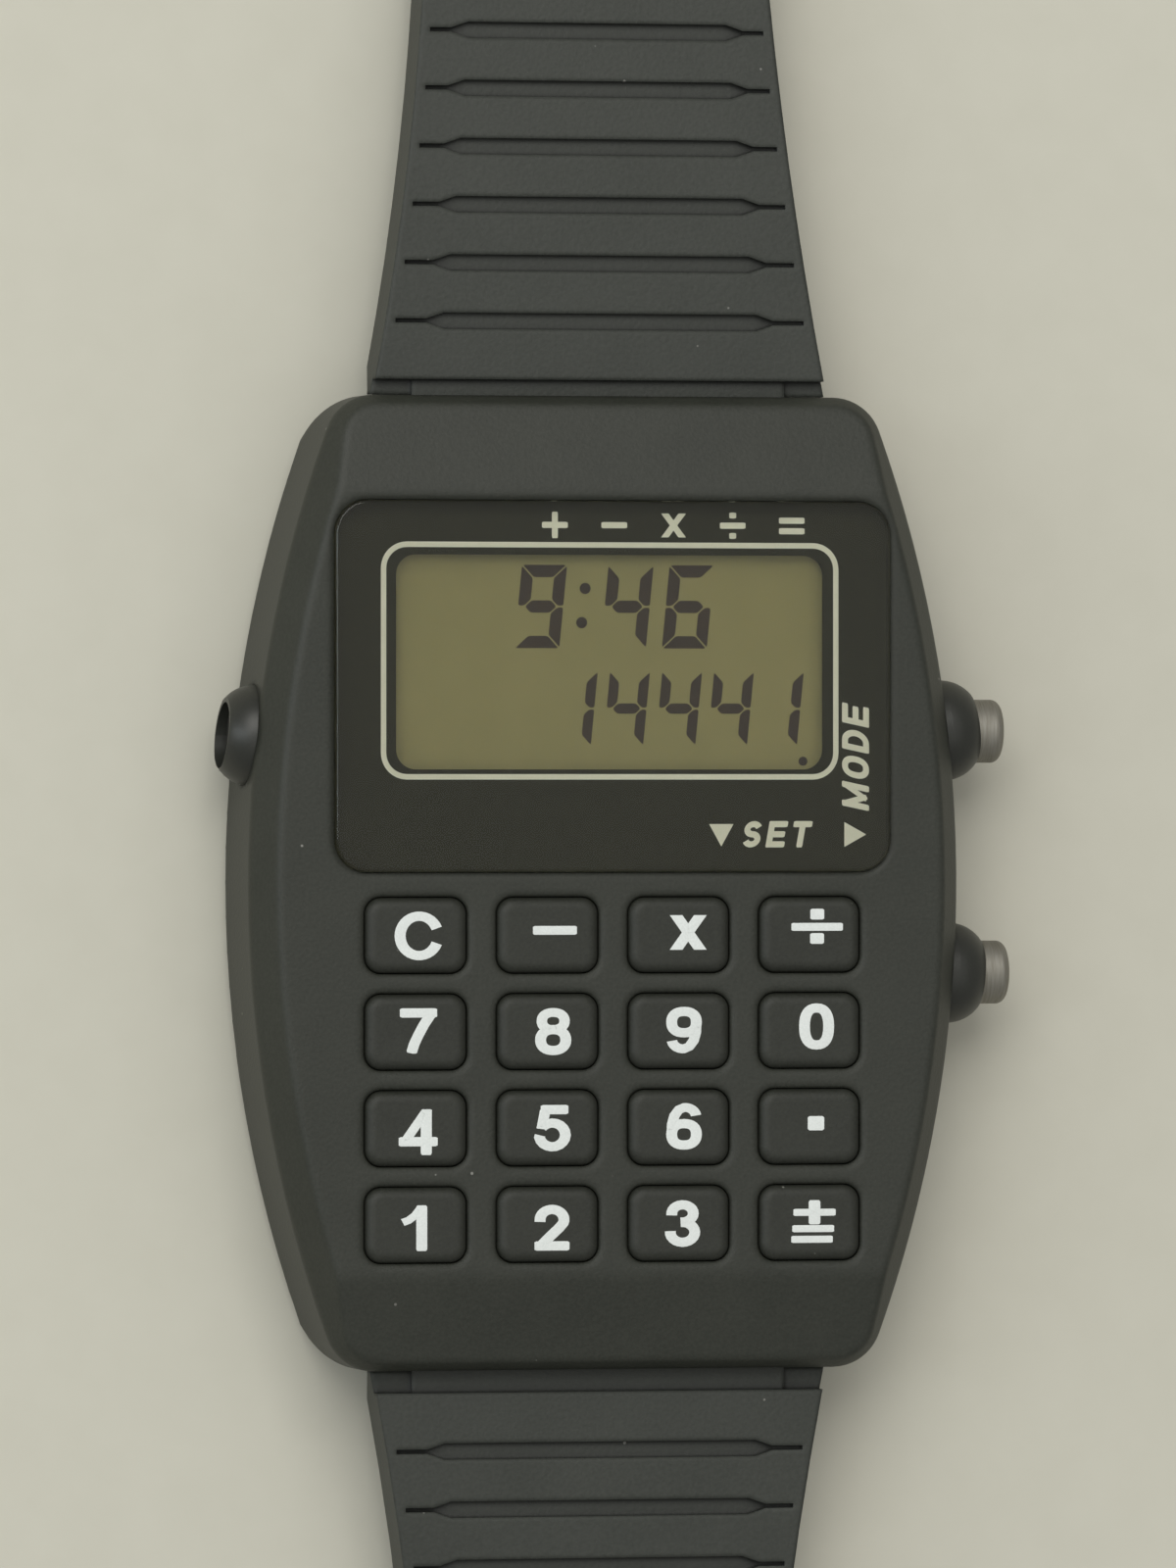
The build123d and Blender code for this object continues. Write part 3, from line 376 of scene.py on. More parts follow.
case_resin = plastic(
    "case_resin", (0.016, 0.018, 0.013), (0.028, 0.030, 0.023), 0.5,
    grain=0.16, depth=0.012, wear_and_highlight=0.2, specks=0.5, edge=0.55, gloss=0.42,
)
strap_resin = plastic(
    "strap_resin", (0.020, 0.023, 0.018), (0.034, 0.037, 0.031), 0.55,
    grain=0.18, depth=0.014, wear_and_highlight=0.2, specks=0.4, edge=0.3, shade=1.0,
)
key_rubber = plastic(
    "key_rubber", (0.013, 0.014, 0.010), (0.023, 0.025, 0.019), 0.55,
    grain=0.14, depth=0.01, wear_and_highlight=0.1, specks=0.4, edge=0.3, gloss=0.42,
)
collar_plastic = plastic(
    "collar_plastic", (0.014, 0.015, 0.012), (0.020, 0.021, 0.017), 0.4, grain=0.1, depth=0.003, wear_and_highlight=0.15
)
button_plastic = plastic(
    "button_plastic", (0.011, 0.011, 0.010), (0.016, 0.016, 0.015), 0.4, grain=0.1, depth=0.002, wear_and_highlight=0.1
)
seal_rubber = plastic(
    "seal_rubber", (0.016, 0.016, 0.017), (0.022, 0.022, 0.023), 0.6, grain=0.2, depth=0.01, wear_and_highlight=0
)
module_plastic = plastic(
    "module_plastic", (0.42, 0.40, 0.34), (0.50, 0.48, 0.42), 0.45, grain=0.2, depth=0.01
)
mask_print = plastic(
    "mask_print", (0.026, 0.026, 0.014), (0.032, 0.032, 0.019), 0.6,
    grain=0.5, depth=0.0001, wear_and_highlight=0, gloss=0.08,
)
chip_resin = plastic(
    "chip_resin", (0.01, 0.01, 0.011), (0.02, 0.02, 0.021), 0.25, grain=0.6, depth=0.02, wear_and_highlight=0
)
cream_ink = plastic(
    "cream_ink", (0.73, 0.725, 0.55), (0.81, 0.80, 0.64), 0.5,
    grain=0.06, depth=0.002, wear_and_highlight=0, gloss=0.1,
)
white_ink = plastic(
    "white_ink", (0.65, 0.68, 0.67), (0.76, 0.79, 0.78), 0.5, grain=0.08, depth=0.003, wear_and_highlight=0
)
segment_ink = plastic(
    "segment_ink", (0.021, 0.011, 0.002), (0.026, 0.015, 0.004), 0.5,
    grain=0.4, depth=0.0002, wear_and_highlight=0, gloss=0.1,
)

pin_steel = metal(
    "pin_steel", (0.30, 0.29, 0.26), (0.255, 0.24, 0.205), 0.6, line=0.06, along=(1.0, 0.05, 0.05), wear_and_highlight=0.2
)
steel_plate = metal("steel_plate", (0.60, 0.59, 0.57), (0.46, 0.45, 0.43), 0.3, along=(1.0, 0.015, 1.0))
steel_small = metal("steel_small", (0.58, 0.57, 0.55), (0.44, 0.43, 0.41), 0.28, wear_and_highlight=0.3)
buckle_steel = metal("buckle_steel", (0.62, 0.61, 0.59), (0.48, 0.47, 0.45), 0.26, line=0.06, wear_and_highlight=0.4)
spring_steel = metal("spring_steel", (0.50, 0.50, 0.50), (0.36, 0.36, 0.36), 0.3)
cell_steel = metal(
    "cell_steel", (0.66, 0.65, 0.63), (0.54, 0.53, 0.51), 0.22, line=0.08, along=(0.05, 0.05, 1.0)
)
quartz_metal = metal("quartz_metal", (0.62, 0.62, 0.60), (0.50, 0.50, 0.48), 0.25, along=(1.0, 0.03, 1.0))
contact_metal = metal("contact_metal", (0.72, 0.56, 0.30), (0.60, 0.46, 0.24), 0.3)
reflector_foil = metal(
    "reflector_foil", (0.55, 0.55, 0.52), (0.47, 0.47, 0.44), 0.4, line=0.08, along=(0.4, 1.0, 1.0)
)


def make_crystal_clear():
    """Clear window with a faint haze of handling marks."""
    material, tree, shader = new_material("crystal_clear")
    marks = place_group(tree, handling_marks, Size=5 * mm)
    shader.inputs["Transmission Weight"].default_value = 1.0
    shader.inputs["IOR"].default_value = crystal_index
    tint = mixed(tree, marks.outputs["Mask"], (0.985, 0.985, 0.975), (0.97, 0.975, 0.965))
    tree.links.new(tint, shader.inputs["Base Color"])
    haze = ranged(tree, marks.outputs["Mask"], 0, 1, 0.0, 0.008)
    tree.links.new(haze, shader.inputs["Roughness"])
    return material


def make_lcd_glass():
    """Olive liquid crystal cell over its reflector: a fine grain with painted glints under a satin film."""
    material, tree, shader = new_material("lcd_glass")
    grains = place_group(tree, moulded_grain, Grain_Size=0.05 * mm)
    # Painted glints: lighter specks in the colour stand in for the reflector's sparkle
    painted_glints = ranged(tree, grains.outputs["Height"], 0.45, 0.95)
    bright = mixed(tree, painted_glints, (0.232, 0.206, 0.076), (0.262, 0.233, 0.090))
    slow = mixed(tree, grains.outputs["Mottle"], (0.214, 0.190, 0.068), bright)
    tree.links.new(slow, shader.inputs["Base Color"])
    rough = ranged(tree, grains.outputs["Mottle"], 0, 1, 0.5, 0.58)
    tree.links.new(rough, shader.inputs["Roughness"])
    shader.inputs["Specular IOR Level"].default_value = 0.1
    bump(tree, shader, grains.outputs["Height"], 0.0015 * mm)
    return material


def make_board_laminate():
    """Green solder resist over a faint pattern of copper tracks."""
    material, tree, shader = new_material("board_laminate")
    place = add(tree, "ShaderNodeTexCoord")
    tracks = add(tree, "ShaderNodeTexBrick", Scale=1.0, offset=0.5)
    tracks.inputs["Brick Width"].default_value = 2.4 * mm
    tracks.inputs["Row Height"].default_value = 0.6 * mm
    tracks.inputs["Mortar Size"].default_value = 0.12 * mm
    tree.links.new(place.outputs["Object"], tracks.inputs["Vector"])
    base = mixed(tree, tracks.outputs["Fac"], (0.02, 0.14, 0.06), (0.05, 0.22, 0.08))
    tree.links.new(base, shader.inputs["Base Color"])
    rough = ranged(tree, tracks.outputs["Fac"], 0, 1, 0.35, 0.28)
    tree.links.new(rough, shader.inputs["Roughness"])
    bump(tree, shader, tracks.outputs["Fac"], 0.02 * mm)
    return material


def make_connector_rubber():
    """Layered connector strip: thin dark and pale leaves across its length."""
    material, tree, shader = new_material("connector_rubber")
    place = add(tree, "ShaderNodeTexCoord")
    radian_length = 0.3 * mm
    radians_per_scale = 20
    leaves = add(tree, "ShaderNodeTexWave", wave_type="BANDS", bands_direction="X")
    leaves.inputs["Scale"].default_value = 1 / radian_length / radians_per_scale
    tree.links.new(place.outputs["Object"], leaves.inputs["Vector"])
    mask = ranged(tree, leaves.outputs["Fac"], 0.4, 0.6)
    base = mixed(tree, mask, (0.02, 0.02, 0.02), (0.55, 0.42, 0.40))
    tree.links.new(base, shader.inputs["Base Color"])
    tree.links.new(ranged(tree, mask, 0, 1, 0.6, 0.5), shader.inputs["Roughness"])
    return material


crystal_clear = make_crystal_clear()
lcd_glass = make_lcd_glass()
board_laminate = make_board_laminate()
connector_rubber = make_connector_rubber()

button_names = ("upper_right", "lower_right", "left")
finishes = {
    "case_shell": case_resin,
    "upper_strap": strap_resin,
    "lower_strap": strap_resin,
    "keeper_loop": strap_resin,
    "keypad_web": key_rubber,
    "back_gasket": seal_rubber,
    "case_back": steel_plate,
    "back_screws": steel_small,
    "crystal": crystal_clear,
    "window_mask": mask_print,
    "lcd_panel": lcd_glass,
    "lcd_reflector": reflector_foil,
    "lcd_holder": module_plastic,
    "module_frame": module_plastic,
    "connector_strips": connector_rubber,
    "circuit_board": board_laminate,
    "chip_blob": chip_resin,
    "quartz_can": quartz_metal,
    "battery": cell_steel,
    "battery_clip": contact_metal,
    "battery_spring": contact_metal,
    "pusher_contacts": contact_metal,
    "upper_bar_tube": steel_small,
    "lower_bar_tube": steel_small,
    "bar_tips": steel_small,
    "bar_springs": spring_steel,
    "buckle_frame": buckle_steel,
    "buckle_bar": buckle_steel,
    "buckle_tongue": buckle_steel,
}
for name in nodes:
    if name.startswith("key_"):
        finishes[name] = key_rubber
for name in button_names:
    finishes[f"{name}_collar"] = collar_plastic
    finishes[f"{name}_pin"] = button_plastic if name == "left" else pin_steel
    finishes[f"{name}_o_ring"] = seal_rubber
    finishes[f"{name}_retainer"] = steel_small
    finishes[f"{name}_spring"] = spring_steel


def paint(thing, material):
    """Gives a node or a piece its one material."""
    if not thing.material_slots:
        thing.data.materials.append(material)
    for slot in thing.material_slots:
        slot.material = material


for name, node in nodes.items():
    paint(node, finishes[name])


# Modelling helpers


def take_up(thing):
    """Makes one object the only one selected and active."""
    bpy.ops.object.select_all(action="DESELECT")
    thing.select_set(True)
    bpy.context.view_layer.objects.active = thing


def settle(thing, name, material, body):
    """Puts a finished piece's place in its mesh, and gives it name, finish and body."""
    take_up(thing)
    bpy.ops.object.transform_apply(location=True, rotation=True, scale=True)
    thing.name = name
    thing.data.name = name
    paint(thing, material)
    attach(thing, body)
    thing.select_set(False)
    return thing


def weighted(thing):
    """Turns the shading of each corner to its largest faces, so that flat faces look flat."""
    modifier = thing.modifiers.new("weigh", "WEIGHTED_NORMAL")
    modifier.keep_sharp = True
    modifier.weight = 100
    take_up(thing)
    bpy.ops.object.modifier_apply(modifier=modifier.name)


def bevelled(thing, width, segments, angle):
    """Rounds every edge sharper than an angle, for good."""
    modifier = thing.modifiers.new("round", "BEVEL")
    modifier.width = width
    modifier.segments = segments
    modifier.limit_method = "ANGLE"
    modifier.angle_limit = math.radians(angle)
    modifier.harden_normals = False
    take_up(thing)
    bpy.ops.object.modifier_apply(modifier=modifier.name)


def smooth(thing, angle):
    """Smooth shading over edges flatter than an angle."""
    take_up(thing)
    bpy.ops.object.shade_smooth_by_angle(angle=math.radians(angle))


weld_distance = 0.001
flat_angle = 0.6
mould_corner_angle = 35
smooth_angle = 50


def welded_copy(node_name, piece_name):
    """A copy of a CAD node whose corners are merged."""
    thing = bpy.data.objects.new(piece_name, nodes[node_name].data.copy())
    bpy.context.scene.collection.objects.link(thing)
    thing.data.materials.clear()
    take_up(thing)
    bpy.ops.object.mode_set(mode="EDIT")
    bpy.ops.mesh.select_all(action="SELECT")
    bpy.ops.mesh.remove_doubles(threshold=weld_distance * mm)
    bpy.ops.object.mode_set(mode="OBJECT")
    return thing


def softened_copy(node_name, piece_name, width, material, body):
    """A moulding copied from its CAD node, its sharp edges rounded as a mould leaves them."""
    thing = welded_copy(node_name, piece_name)
    bpy.ops.object.mode_set(mode="EDIT")
    bpy.ops.mesh.dissolve_limited(angle_limit=math.radians(flat_angle))
    bpy.ops.object.mode_set(mode="OBJECT")
    bevelled(thing, width * mm, segments=2, angle=mould_corner_angle)
    smooth(thing, smooth_angle)
    weighted(thing)
    settle(thing, piece_name, material, body)
    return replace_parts(thing, node_name)


# Straps: soft mould edges on the long sides, ribs and grooves

strap_edge = 0.12
for half in ("upper_strap", "lower_strap"):
    softened_copy(half, f"{half}_moulding", strap_edge, strap_resin, half)


# Button springs, copied from their CAD nodes and fixed to the case; each button's travel in mm

button_travels = {"upper_right": 0.8, "lower_right": 0.8, "left": 0.6}


def make_button_spring(button):
    """The return spring of one button, seated in the case at its inner end."""
    piece_name = f"{button}_spring_coil"
    thing = welded_copy(f"{button}_spring", piece_name)
    smooth(thing, smooth_angle)
    settle(thing, piece_name, spring_steel, "case")
    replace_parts(thing, f"{button}_spring")
    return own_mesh(thing)


for button, travel in button_travels.items():
    make_button_spring(button)


# Crystal: its underside takes in the printed sheet, as the glue does on the real one


def make_crystal_window():
    """Clear slab with rounded corners and a small bright bevel round its top edge."""
    low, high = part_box("crystal")
    glue = 0.03 * mm
    corner_radius = 1.5 * mm
    top_bevel = 0.16 * mm
    low.z -= glue
    size = high - low
    bpy.ops.mesh.primitive_cube_add(size=1, location=(low + high) / 2)
    thing = bpy.context.object
    thing.scale = size
    bpy.ops.object.transform_apply(location=True, rotation=True, scale=True)
    bpy.ops.object.mode_set(mode="EDIT")
    bpy.ops.mesh.select_mode(type="EDGE")
    bpy.ops.mesh.select_all(action="DESELECT")
    bpy.ops.object.mode_set(mode="OBJECT")
    for edge in thing.data.edges:
        ends = [thing.data.vertices[i].co for i in edge.vertices]
        edge.select = abs(ends[0].z - ends[1].z) > size.z / 2
    bpy.ops.object.mode_set(mode="EDIT")
    bpy.ops.mesh.bevel(offset=corner_radius, segments=10)
    bpy.ops.mesh.select_all(action="DESELECT")
    bpy.ops.object.mode_set(mode="OBJECT")
    for edge in thing.data.edges:
        ends = [thing.data.vertices[i].co for i in edge.vertices]
        edge.select = min(end.z for end in ends) > high.z - glue / 2
    bpy.ops.object.mode_set(mode="EDIT")
    bpy.ops.mesh.bevel(offset=top_bevel, segments=4)
    bpy.ops.object.mode_set(mode="OBJECT")
    smooth(thing, 40)
    weighted(thing)
    settle(thing, "crystal_window", crystal_clear, "case")
    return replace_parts(thing, "crystal")


make_crystal_window()


# Strokes: every printed figure is drawn with a pen along lines and arcs


def arc(centre_x, centre_y, radius_x, radius_y, start, end, steps=16):
    """Points along part of an oval, angles in degrees from 3 o'clock, counterclockwise."""
    points = []
    for step in range(steps + 1):
        angle = math.radians(start + (end - start) * step / steps)
        points.append((centre_x + radius_x * math.cos(angle), centre_y + radius_y * math.sin(angle)))
    return points


def loop(centre_x, centre_y, radius_x, radius_y, squareness=0.85, steps=32):
    """Points round a closed oval, fuller at its corners than an ellipse."""
    points = []
    for step in range(steps):
        angle = math.tau * step / steps
        c, s = math.cos(angle), math.sin(angle)
        x = math.copysign(abs(c) ** squareness, c)
        y = math.copysign(abs(s) ** squareness, s)
        points.append((centre_x + radius_x * x, centre_y + radius_y * y))
    return points


def turned(strokes):
    """Strokes turned half way round their box."""
    return [([(1 - x, 1 - y) for x, y in points], reach, weight) for points, reach, weight in strokes]


# A stroke is its points in a box from 0 to 1, which of its ends reach out by half the pen, and its weight
six_strokes = [
    (loop(0.5, 0.285, 0.5, 0.285), "loop", 1),
    (
        arc(0.54, 0.75, 0.45, 0.25, 8, 95) + [(0.29, 0.94), (0.11, 0.78), (0.02, 0.56), (0.01, 0.36)],
        "none", 0.96,
    ),
]
figure_strokes = {
    "0": [(loop(0.5, 0.5, 0.5, 0.5, 0.82), "loop", 1)],
    "1": [
        ([(0.97, 0.0), (0.97, 1.0)], "both", 1),
        ([(0.93, 1.07), (0.50, 0.85), (0.06, 0.72), (-0.36, 0.66)], "none", 0.78),
    ],
    "2": [
        (
            [(0.0, 0.66)] + arc(0.5, 0.72, 0.5, 0.28, 170, -20) + [(0.78, 0.48), (0.42, 0.26), (0.10, 0.05)],
            "none", 1,
        ),
        ([(0.0, 0.0), (1.0, 0.0)], "both", 1),
    ],
    "3": [
        ([(0.06, 0.72)] + arc(0.5, 0.77, 0.44, 0.23, 172, -80) + [(0.42, 0.54)], "none", 1),
        ([(0.44, 0.53)] + arc(0.5, 0.265, 0.5, 0.265, 80, -170) + [(0.0, 0.30)], "none", 1),
    ],
    "4": [
        ([(0.79, 0.0), (0.79, 1.0)], "both", 1),
        ([(0.86, 1.16), (0.04, 0.26)], "none", 0.86),
        ([(0.0, 0.24), (1.0, 0.24)], "both", 1),
    ],
    "5": [
        ([(0.24, 1.0), (0.90, 1.0)], "both", 1),
        ([(0.20, 0.98), (0.06, 0.48)], "none", 0.96),
        ([(0.07, 0.52)] + arc(0.48, 0.32, 0.52, 0.32, 128, -168) + [(0.0, 0.31)], "none", 1),
    ],
    "6": six_strokes,
    "7": [
        ([(0.0, 1.0), (1.0, 1.0)], "both", 1),
        ([(0.98, 0.97), (0.70, 0.66), (0.48, 0.36), (0.33, 0.12), (0.28, 0.0)], "last", 0.97),
    ],
    "8": [(loop(0.5, 0.775, 0.45, 0.225, 0.9), "loop", 0.96), (loop(0.5, 0.275, 0.5, 0.275, 0.9), "loop", 1)],
    "9": turned(six_strokes),
    "clear": [(arc(0.52, 0.5, 0.52, 0.5, 22, 338, 30), "none", 1)],
    "bar": [([(0.0, 0.5), (1.0, 0.5)], "both", 1)],
    "stem": [([(0.5, 0.0), (0.5, 1.0)], "both", 1)],
    "times": [([(-0.08, -0.39), (1.08, 1.39)], "none", 1), ([(-0.08, 1.39), (1.08, -0.39)], "none", 1)],
    "S": [(arc(0.5, 0.75, 0.46, 0.25, 20, 262, 14) + arc(0.5, 0.25, 0.46, 0.25, 82, -160, 14), "none", 1)],
    "E": [
        ([(0.0, 1.0), (1.0, 1.0)], "both", 1),
        ([(0.0, 0.0), (0.0, 1.0)], "both", 1),
        ([(0.0, 0.5), (0.9, 0.5)], "both", 1),
        ([(0.0, 0.0), (1.0, 0.0)], "both", 1),
    ],
    "T": [([(0.0, 1.0), (1.0, 1.0)], "both", 1), ([(0.5, 1.0), (0.5, 0.0)], "last", 1)],
    "M": [
        ([(0.0, 0.0), (0.0, 1.0)], "both", 1),
        ([(0.0, 1.0), (0.5, 0.1)], "both", 0.9),
        ([(0.5, 0.1), (1.0, 1.0)], "both", 0.9),
        ([(1.0, 0.0), (1.0, 1.0)], "both", 1),
    ],
    "O": [(loop(0.5, 0.5, 0.5, 0.5, 0.85), "loop", 1)],
    "D": [
        ([(0.0, 0.0), (0.0, 1.0)], "both", 1),
        ([(0.0, 1.0)] + arc(0.42, 0.5, 0.58, 0.5, 90, -90) + [(0.0, 0.0)], "none", 1),
    ],
}

end_narrowing = 0.8
end_rounding = 0.08
trim_slack = 0.004


def finished_ends(points, radius, reach):
    """A stroke's points and pen sizes, its chosen ends moved out and a little rounded."""
    places = [Vector(point) for point in points]
    pens = [1.0] * len(places)
    for at_start in (True, False):
        if reach != "both" and reach != ("first" if at_start else "last"):
            continue
        if not at_start:
            places.reverse()
            pens.reverse()
        outward = (places[0] - places[1]).normalized()
        tip = places[0] + outward * radius
        places[:1] = [tip, tip - outward * end_rounding]
        pens[:1] = [end_narrowing, 1.0]
        if not at_start:
            places.reverse()
            pens.reverse()
    return places, pens


def trim(thing, height):
    """Cuts a drawn figure level at the top and bottom of its box."""
    take_up(thing)
    bpy.ops.object.mode_set(mode="EDIT")
    for side in (1, -1):
        bpy.ops.mesh.select_all(action="SELECT")
        bpy.ops.mesh.bisect(
            plane_co=(0, side * (height / 2 + trim_slack) * mm, 0),
            plane_no=(0, side, 0),
            clear_outer=True,
            use_fill=True,
            threshold=0.0001 * mm,
        )
    bpy.ops.object.mode_set(mode="OBJECT")


def draw(strokes, width, height, pen_x, pen_y, thickness, slant=0.0):
    """A flat inked shape of a given outer size in mm, centred at the origin, as a mesh object."""
    squeeze = pen_x / pen_y
    reach_x = (width - pen_x) / squeeze
    reach_y = height - pen_y
    curve = bpy.data.curves.new("strokes", "CURVE")
    curve.dimensions = "3D"
    curve.bevel_depth = pen_y / 2 * mm
    curve.bevel_resolution = 2
    curve.use_fill_caps = True
    for points, reach, weight in strokes:
        placed = [((x - 0.5) * reach_x, (y - 0.5) * reach_y) for x, y in points]
        placed, pens = finished_ends(placed, pen_y / 2, reach)
        spline = curve.splines.new("POLY")
        spline.points.add(len(placed) - 1)
        for point, (x, y), pen in zip(spline.points, placed, pens):
            point.co = (x * mm, y * mm, 0, 1)
            point.radius = pen * weight
        spline.use_cyclic_u = reach == "loop"
    thing = bpy.data.objects.new("strokes", curve)
    bpy.context.scene.collection.objects.link(thing)
    take_up(thing)
    bpy.ops.object.convert(target="MESH")
    thing = bpy.context.object
    flatten = thickness / (pen_y / 2)
    thing.data.transform(Matrix.Diagonal((squeeze, 1, flatten, 1)))
    trim(thing, height)
    if slant:
        lean = Matrix.Identity(4)
        lean[0][1] = math.tan(math.radians(slant))
        thing.data.transform(lean)
    smooth(thing, 20)
    return thing


def joined(things):
    """Several drawn shapes as one object, its origin at the world's."""
    take_up(things[0])
    for thing in things:
        thing.select_set(True)
    bpy.ops.object.join()
    bpy.ops.object.transform_apply(location=True, rotation=True, scale=True)
    return bpy.context.object


# Key figures, each on its own key: width and height in mm, and the middle's pixel in the photograph

ink_above_key = 0.006
figure_pen = (0.51, 0.42)
key_figures = {
    "clear": ("clear", 2.20, 2.20, 427.5, 954.5),
    "7": ("7", 1.72, 2.04, 427.6, 1051.1),
    "8": ("8", 1.68, 2.14, 564.5, 1052.3),
    "9": ("9", 1.66, 2.11, 698.1, 1051.5),
    "0": ("0", 1.64, 2.10, 834.1, 1048.3),
    "4": ("4", 1.80, 2.06, 427.3, 1154.2),
    "5": ("5", 1.68, 2.10, 564.1, 1150.9),
    "6": ("6", 1.66, 2.12, 698.1, 1149.7),
    "1": ("1", 1.17, 2.06, 424.1, 1251.8),
    "2": ("2", 1.62, 2.07, 563.3, 1252.3),
    "3": ("3", 1.65, 2.12, 696.6, 1249.1),
    "times": ("times", 1.77, 1.56, 702.4, 951.7),
}
# Signs made of bars and dots: width, height and the middle's pixel of each
key_signs = {
    "minus": [("bar", 2.04, 0.40, 566.3, 949.2)],
    "divide": [
        ("bar", 2.41, 0.36, 834.7, 946.3),
        ("bar", 0.65, 0.49, 834.8, 933.3),
        ("bar", 0.65, 0.49, 834.6, 958.2),
    ],
    "point": [("bar", 0.77, 0.65, 833.5, 1147.4)],
    "plus_equals": [
        ("bar", 1.98, 0.32, 832.0, 1238.6),
        ("stem", 0.55, 1.10, 832.0, 1238.6),
        ("bar", 1.96, 0.32, 830.6, 1255.3),
        ("bar", 1.94, 0.32, 829.4, 1266.2),
    ],
}


def make_key_figure(key):
    """The white figure or sign on one key."""
    shift = shift_to(key_top_z)
    if key in key_figures:
        parts = [(*key_figures[key], *figure_pen)]
    else:
        parts = []
        for shape, width, height, pixel_x, pixel_y in key_signs[key]:
            pen = (width, key_signs[key][0][2]) if shape == "stem" else (height, height)
            parts.append((shape, width, height, pixel_x, pixel_y, *pen))
    things = []
    for shape, width, height, pixel_x, pixel_y, pen_x, pen_y in parts:
        thing = draw(figure_strokes[shape], width, height, pen_x, pen_y, ink_above_key)
        x, y = on_plane(pixel_x, pixel_y, shift)
        thing.location = (x * mm, y * mm, key_top_z * mm)
        things.append(thing)
    return settle(joined(things), f"figure_{key}", white_ink, f"key_{key}")


for name in sorted(nodes):
    if name.startswith("key_"):
        make_key_figure(name[len("key_"):])


# Print under the crystal: the border line, the two labels and the row of signs

print_thickness = 0.012
border_size = (21.30, 10.76)
border_line = 0.25
border_radius = 1.2
border_x = 0.02
border_y = 10.06
# Boxes in the photograph's pixels: left, bottom, right and top
mode_word_box = (860.6, 828, 888.5, 716)
mode_arrow_box = (863, 864.6, 885.6, 839)
set_word_box = (756.5, 865, 830.6, 838)
set_arrow_box = (724, 864, 749, 841)
sign_row_box = (553, 549, 822, 522)


def under_crystal(pixel_box):
    """A pixel box of the photograph as one in mm on the printed sheet."""
    shift = shift_to(mask_top_z, True)
    return (*on_plane(*pixel_box[:2], shift), *on_plane(*pixel_box[2:], shift))


def rounded_outline(width, length, radius, steps=8):
    """Points round a rounded rectangle centred at zero, in mm."""
    points = []
    for turn, (sx, sy) in enumerate(((1, 1), (-1, 1), (-1, -1), (1, -1))):
        cx = sx * (width / 2 - radius)
        cy = sy * (length / 2 - radius)
        points += arc(cx, cy, radius, radius, 90 * turn, 90 * turn + 90, steps)
    return points


def make_border_print():
    """Cream line round the display."""
    width = border_size[0] - border_line
    length = border_size[1] - border_line
    points = rounded_outline(width, length, border_radius - border_line / 2)
    shares = [(x / width + 0.5, y / length + 0.5) for x, y in points]
    thing = draw([(shares, "loop", 1)], *border_size, border_line, border_line, print_thickness)
    thing.location = (border_x * mm, border_y * mm, mask_top_z * mm)
    return settle(thing, "display_border_print", cream_ink, "case")


letter_widths = {"M": 1.25, "O": 1.1, "D": 1.05, "E": 1.0, "S": 1.0, "T": 1.0}
label_pen = 0.28


def print_word(letters, left, bottom, right, top, gap, slant):
    """A printed word that fills a box given in mm."""
    height = top - bottom
    lean = height * math.tan(math.radians(slant))
    total = sum(letter_widths[letter] for letter in letters)
    unit = (right - left - lean - gap * (len(letters) - 1)) / total
    x = left + lean / 2
    things = []
    for letter in letters:
        width = unit * letter_widths[letter]
        thing = draw(figure_strokes[letter], width, height, label_pen, label_pen, print_thickness, slant)
        thing.location = ((x + width / 2) * mm, (bottom + top) / 2 * mm, 0)
        things.append(thing)
        x += width + gap
    return joined(things)


def make_arrow(pixel_box, points_right):
    """A small printed triangle, pointing down or to the right."""
    left, bottom, right, top = under_crystal(pixel_box)
    bpy.ops.mesh.primitive_cylinder_add(vertices=3, radius=1, depth=2)
    thing = bpy.context.object
    low = [min(v.co[i] for v in thing.data.vertices) for i in range(2)]
    high = [max(v.co[i] for v in thing.data.vertices) for i in range(2)]
    middle = Matrix.Translation((-(low[0] + high[0]) / 2, -(low[1] + high[1]) / 2, 0))
    unit = Matrix.Diagonal((1 / (high[0] - low[0]), 1 / (high[1] - low[1]), 1, 1))
    thing.data.transform(unit @ middle)
    turn = Matrix.Rotation(math.radians(-90 if points_right else 180), 4, "Z")
    thing.data.transform(turn)
    thing.data.transform(Matrix.Diagonal(((right - left) * mm, (top - bottom) * mm, print_thickness * mm, 1)))
    thing.location = ((left + right) / 2 * mm, (bottom + top) / 2 * mm, 0)
    bevelled(thing, width=0.06 * mm, segments=2, angle=60)
    return thing


def make_mode_label():
    """The word that reads upwards beside the display, with its arrow."""
    left, bottom, right, top = under_crystal(mode_word_box)
    length = top - bottom
    height = right - left
    word = print_word("MODE", -length / 2, -height / 2, length / 2, height / 2, gap=0.24, slant=12)
    word.data.transform(Matrix.Rotation(math.radians(90), 4, "Z"))
    word.location = ((left + right) / 2 * mm, (bottom + top) / 2 * mm, 0)
    thing = joined([word, make_arrow(mode_arrow_box, points_right=True)])
    thing.location.z += mask_top_z * mm
    return settle(thing, "mode_label_print", cream_ink, "case")


def make_set_label():
    """The word under the display's right corner, with its arrow."""
    left, bottom, right, top = under_crystal(set_word_box)
    word = print_word("SET", left, bottom, right, top, gap=0.27, slant=10)
    thing = joined([word, make_arrow(set_arrow_box, points_right=False)])
    thing.location.z += mask_top_z * mm
    return settle(thing, "set_label_print", cream_ink, "case")


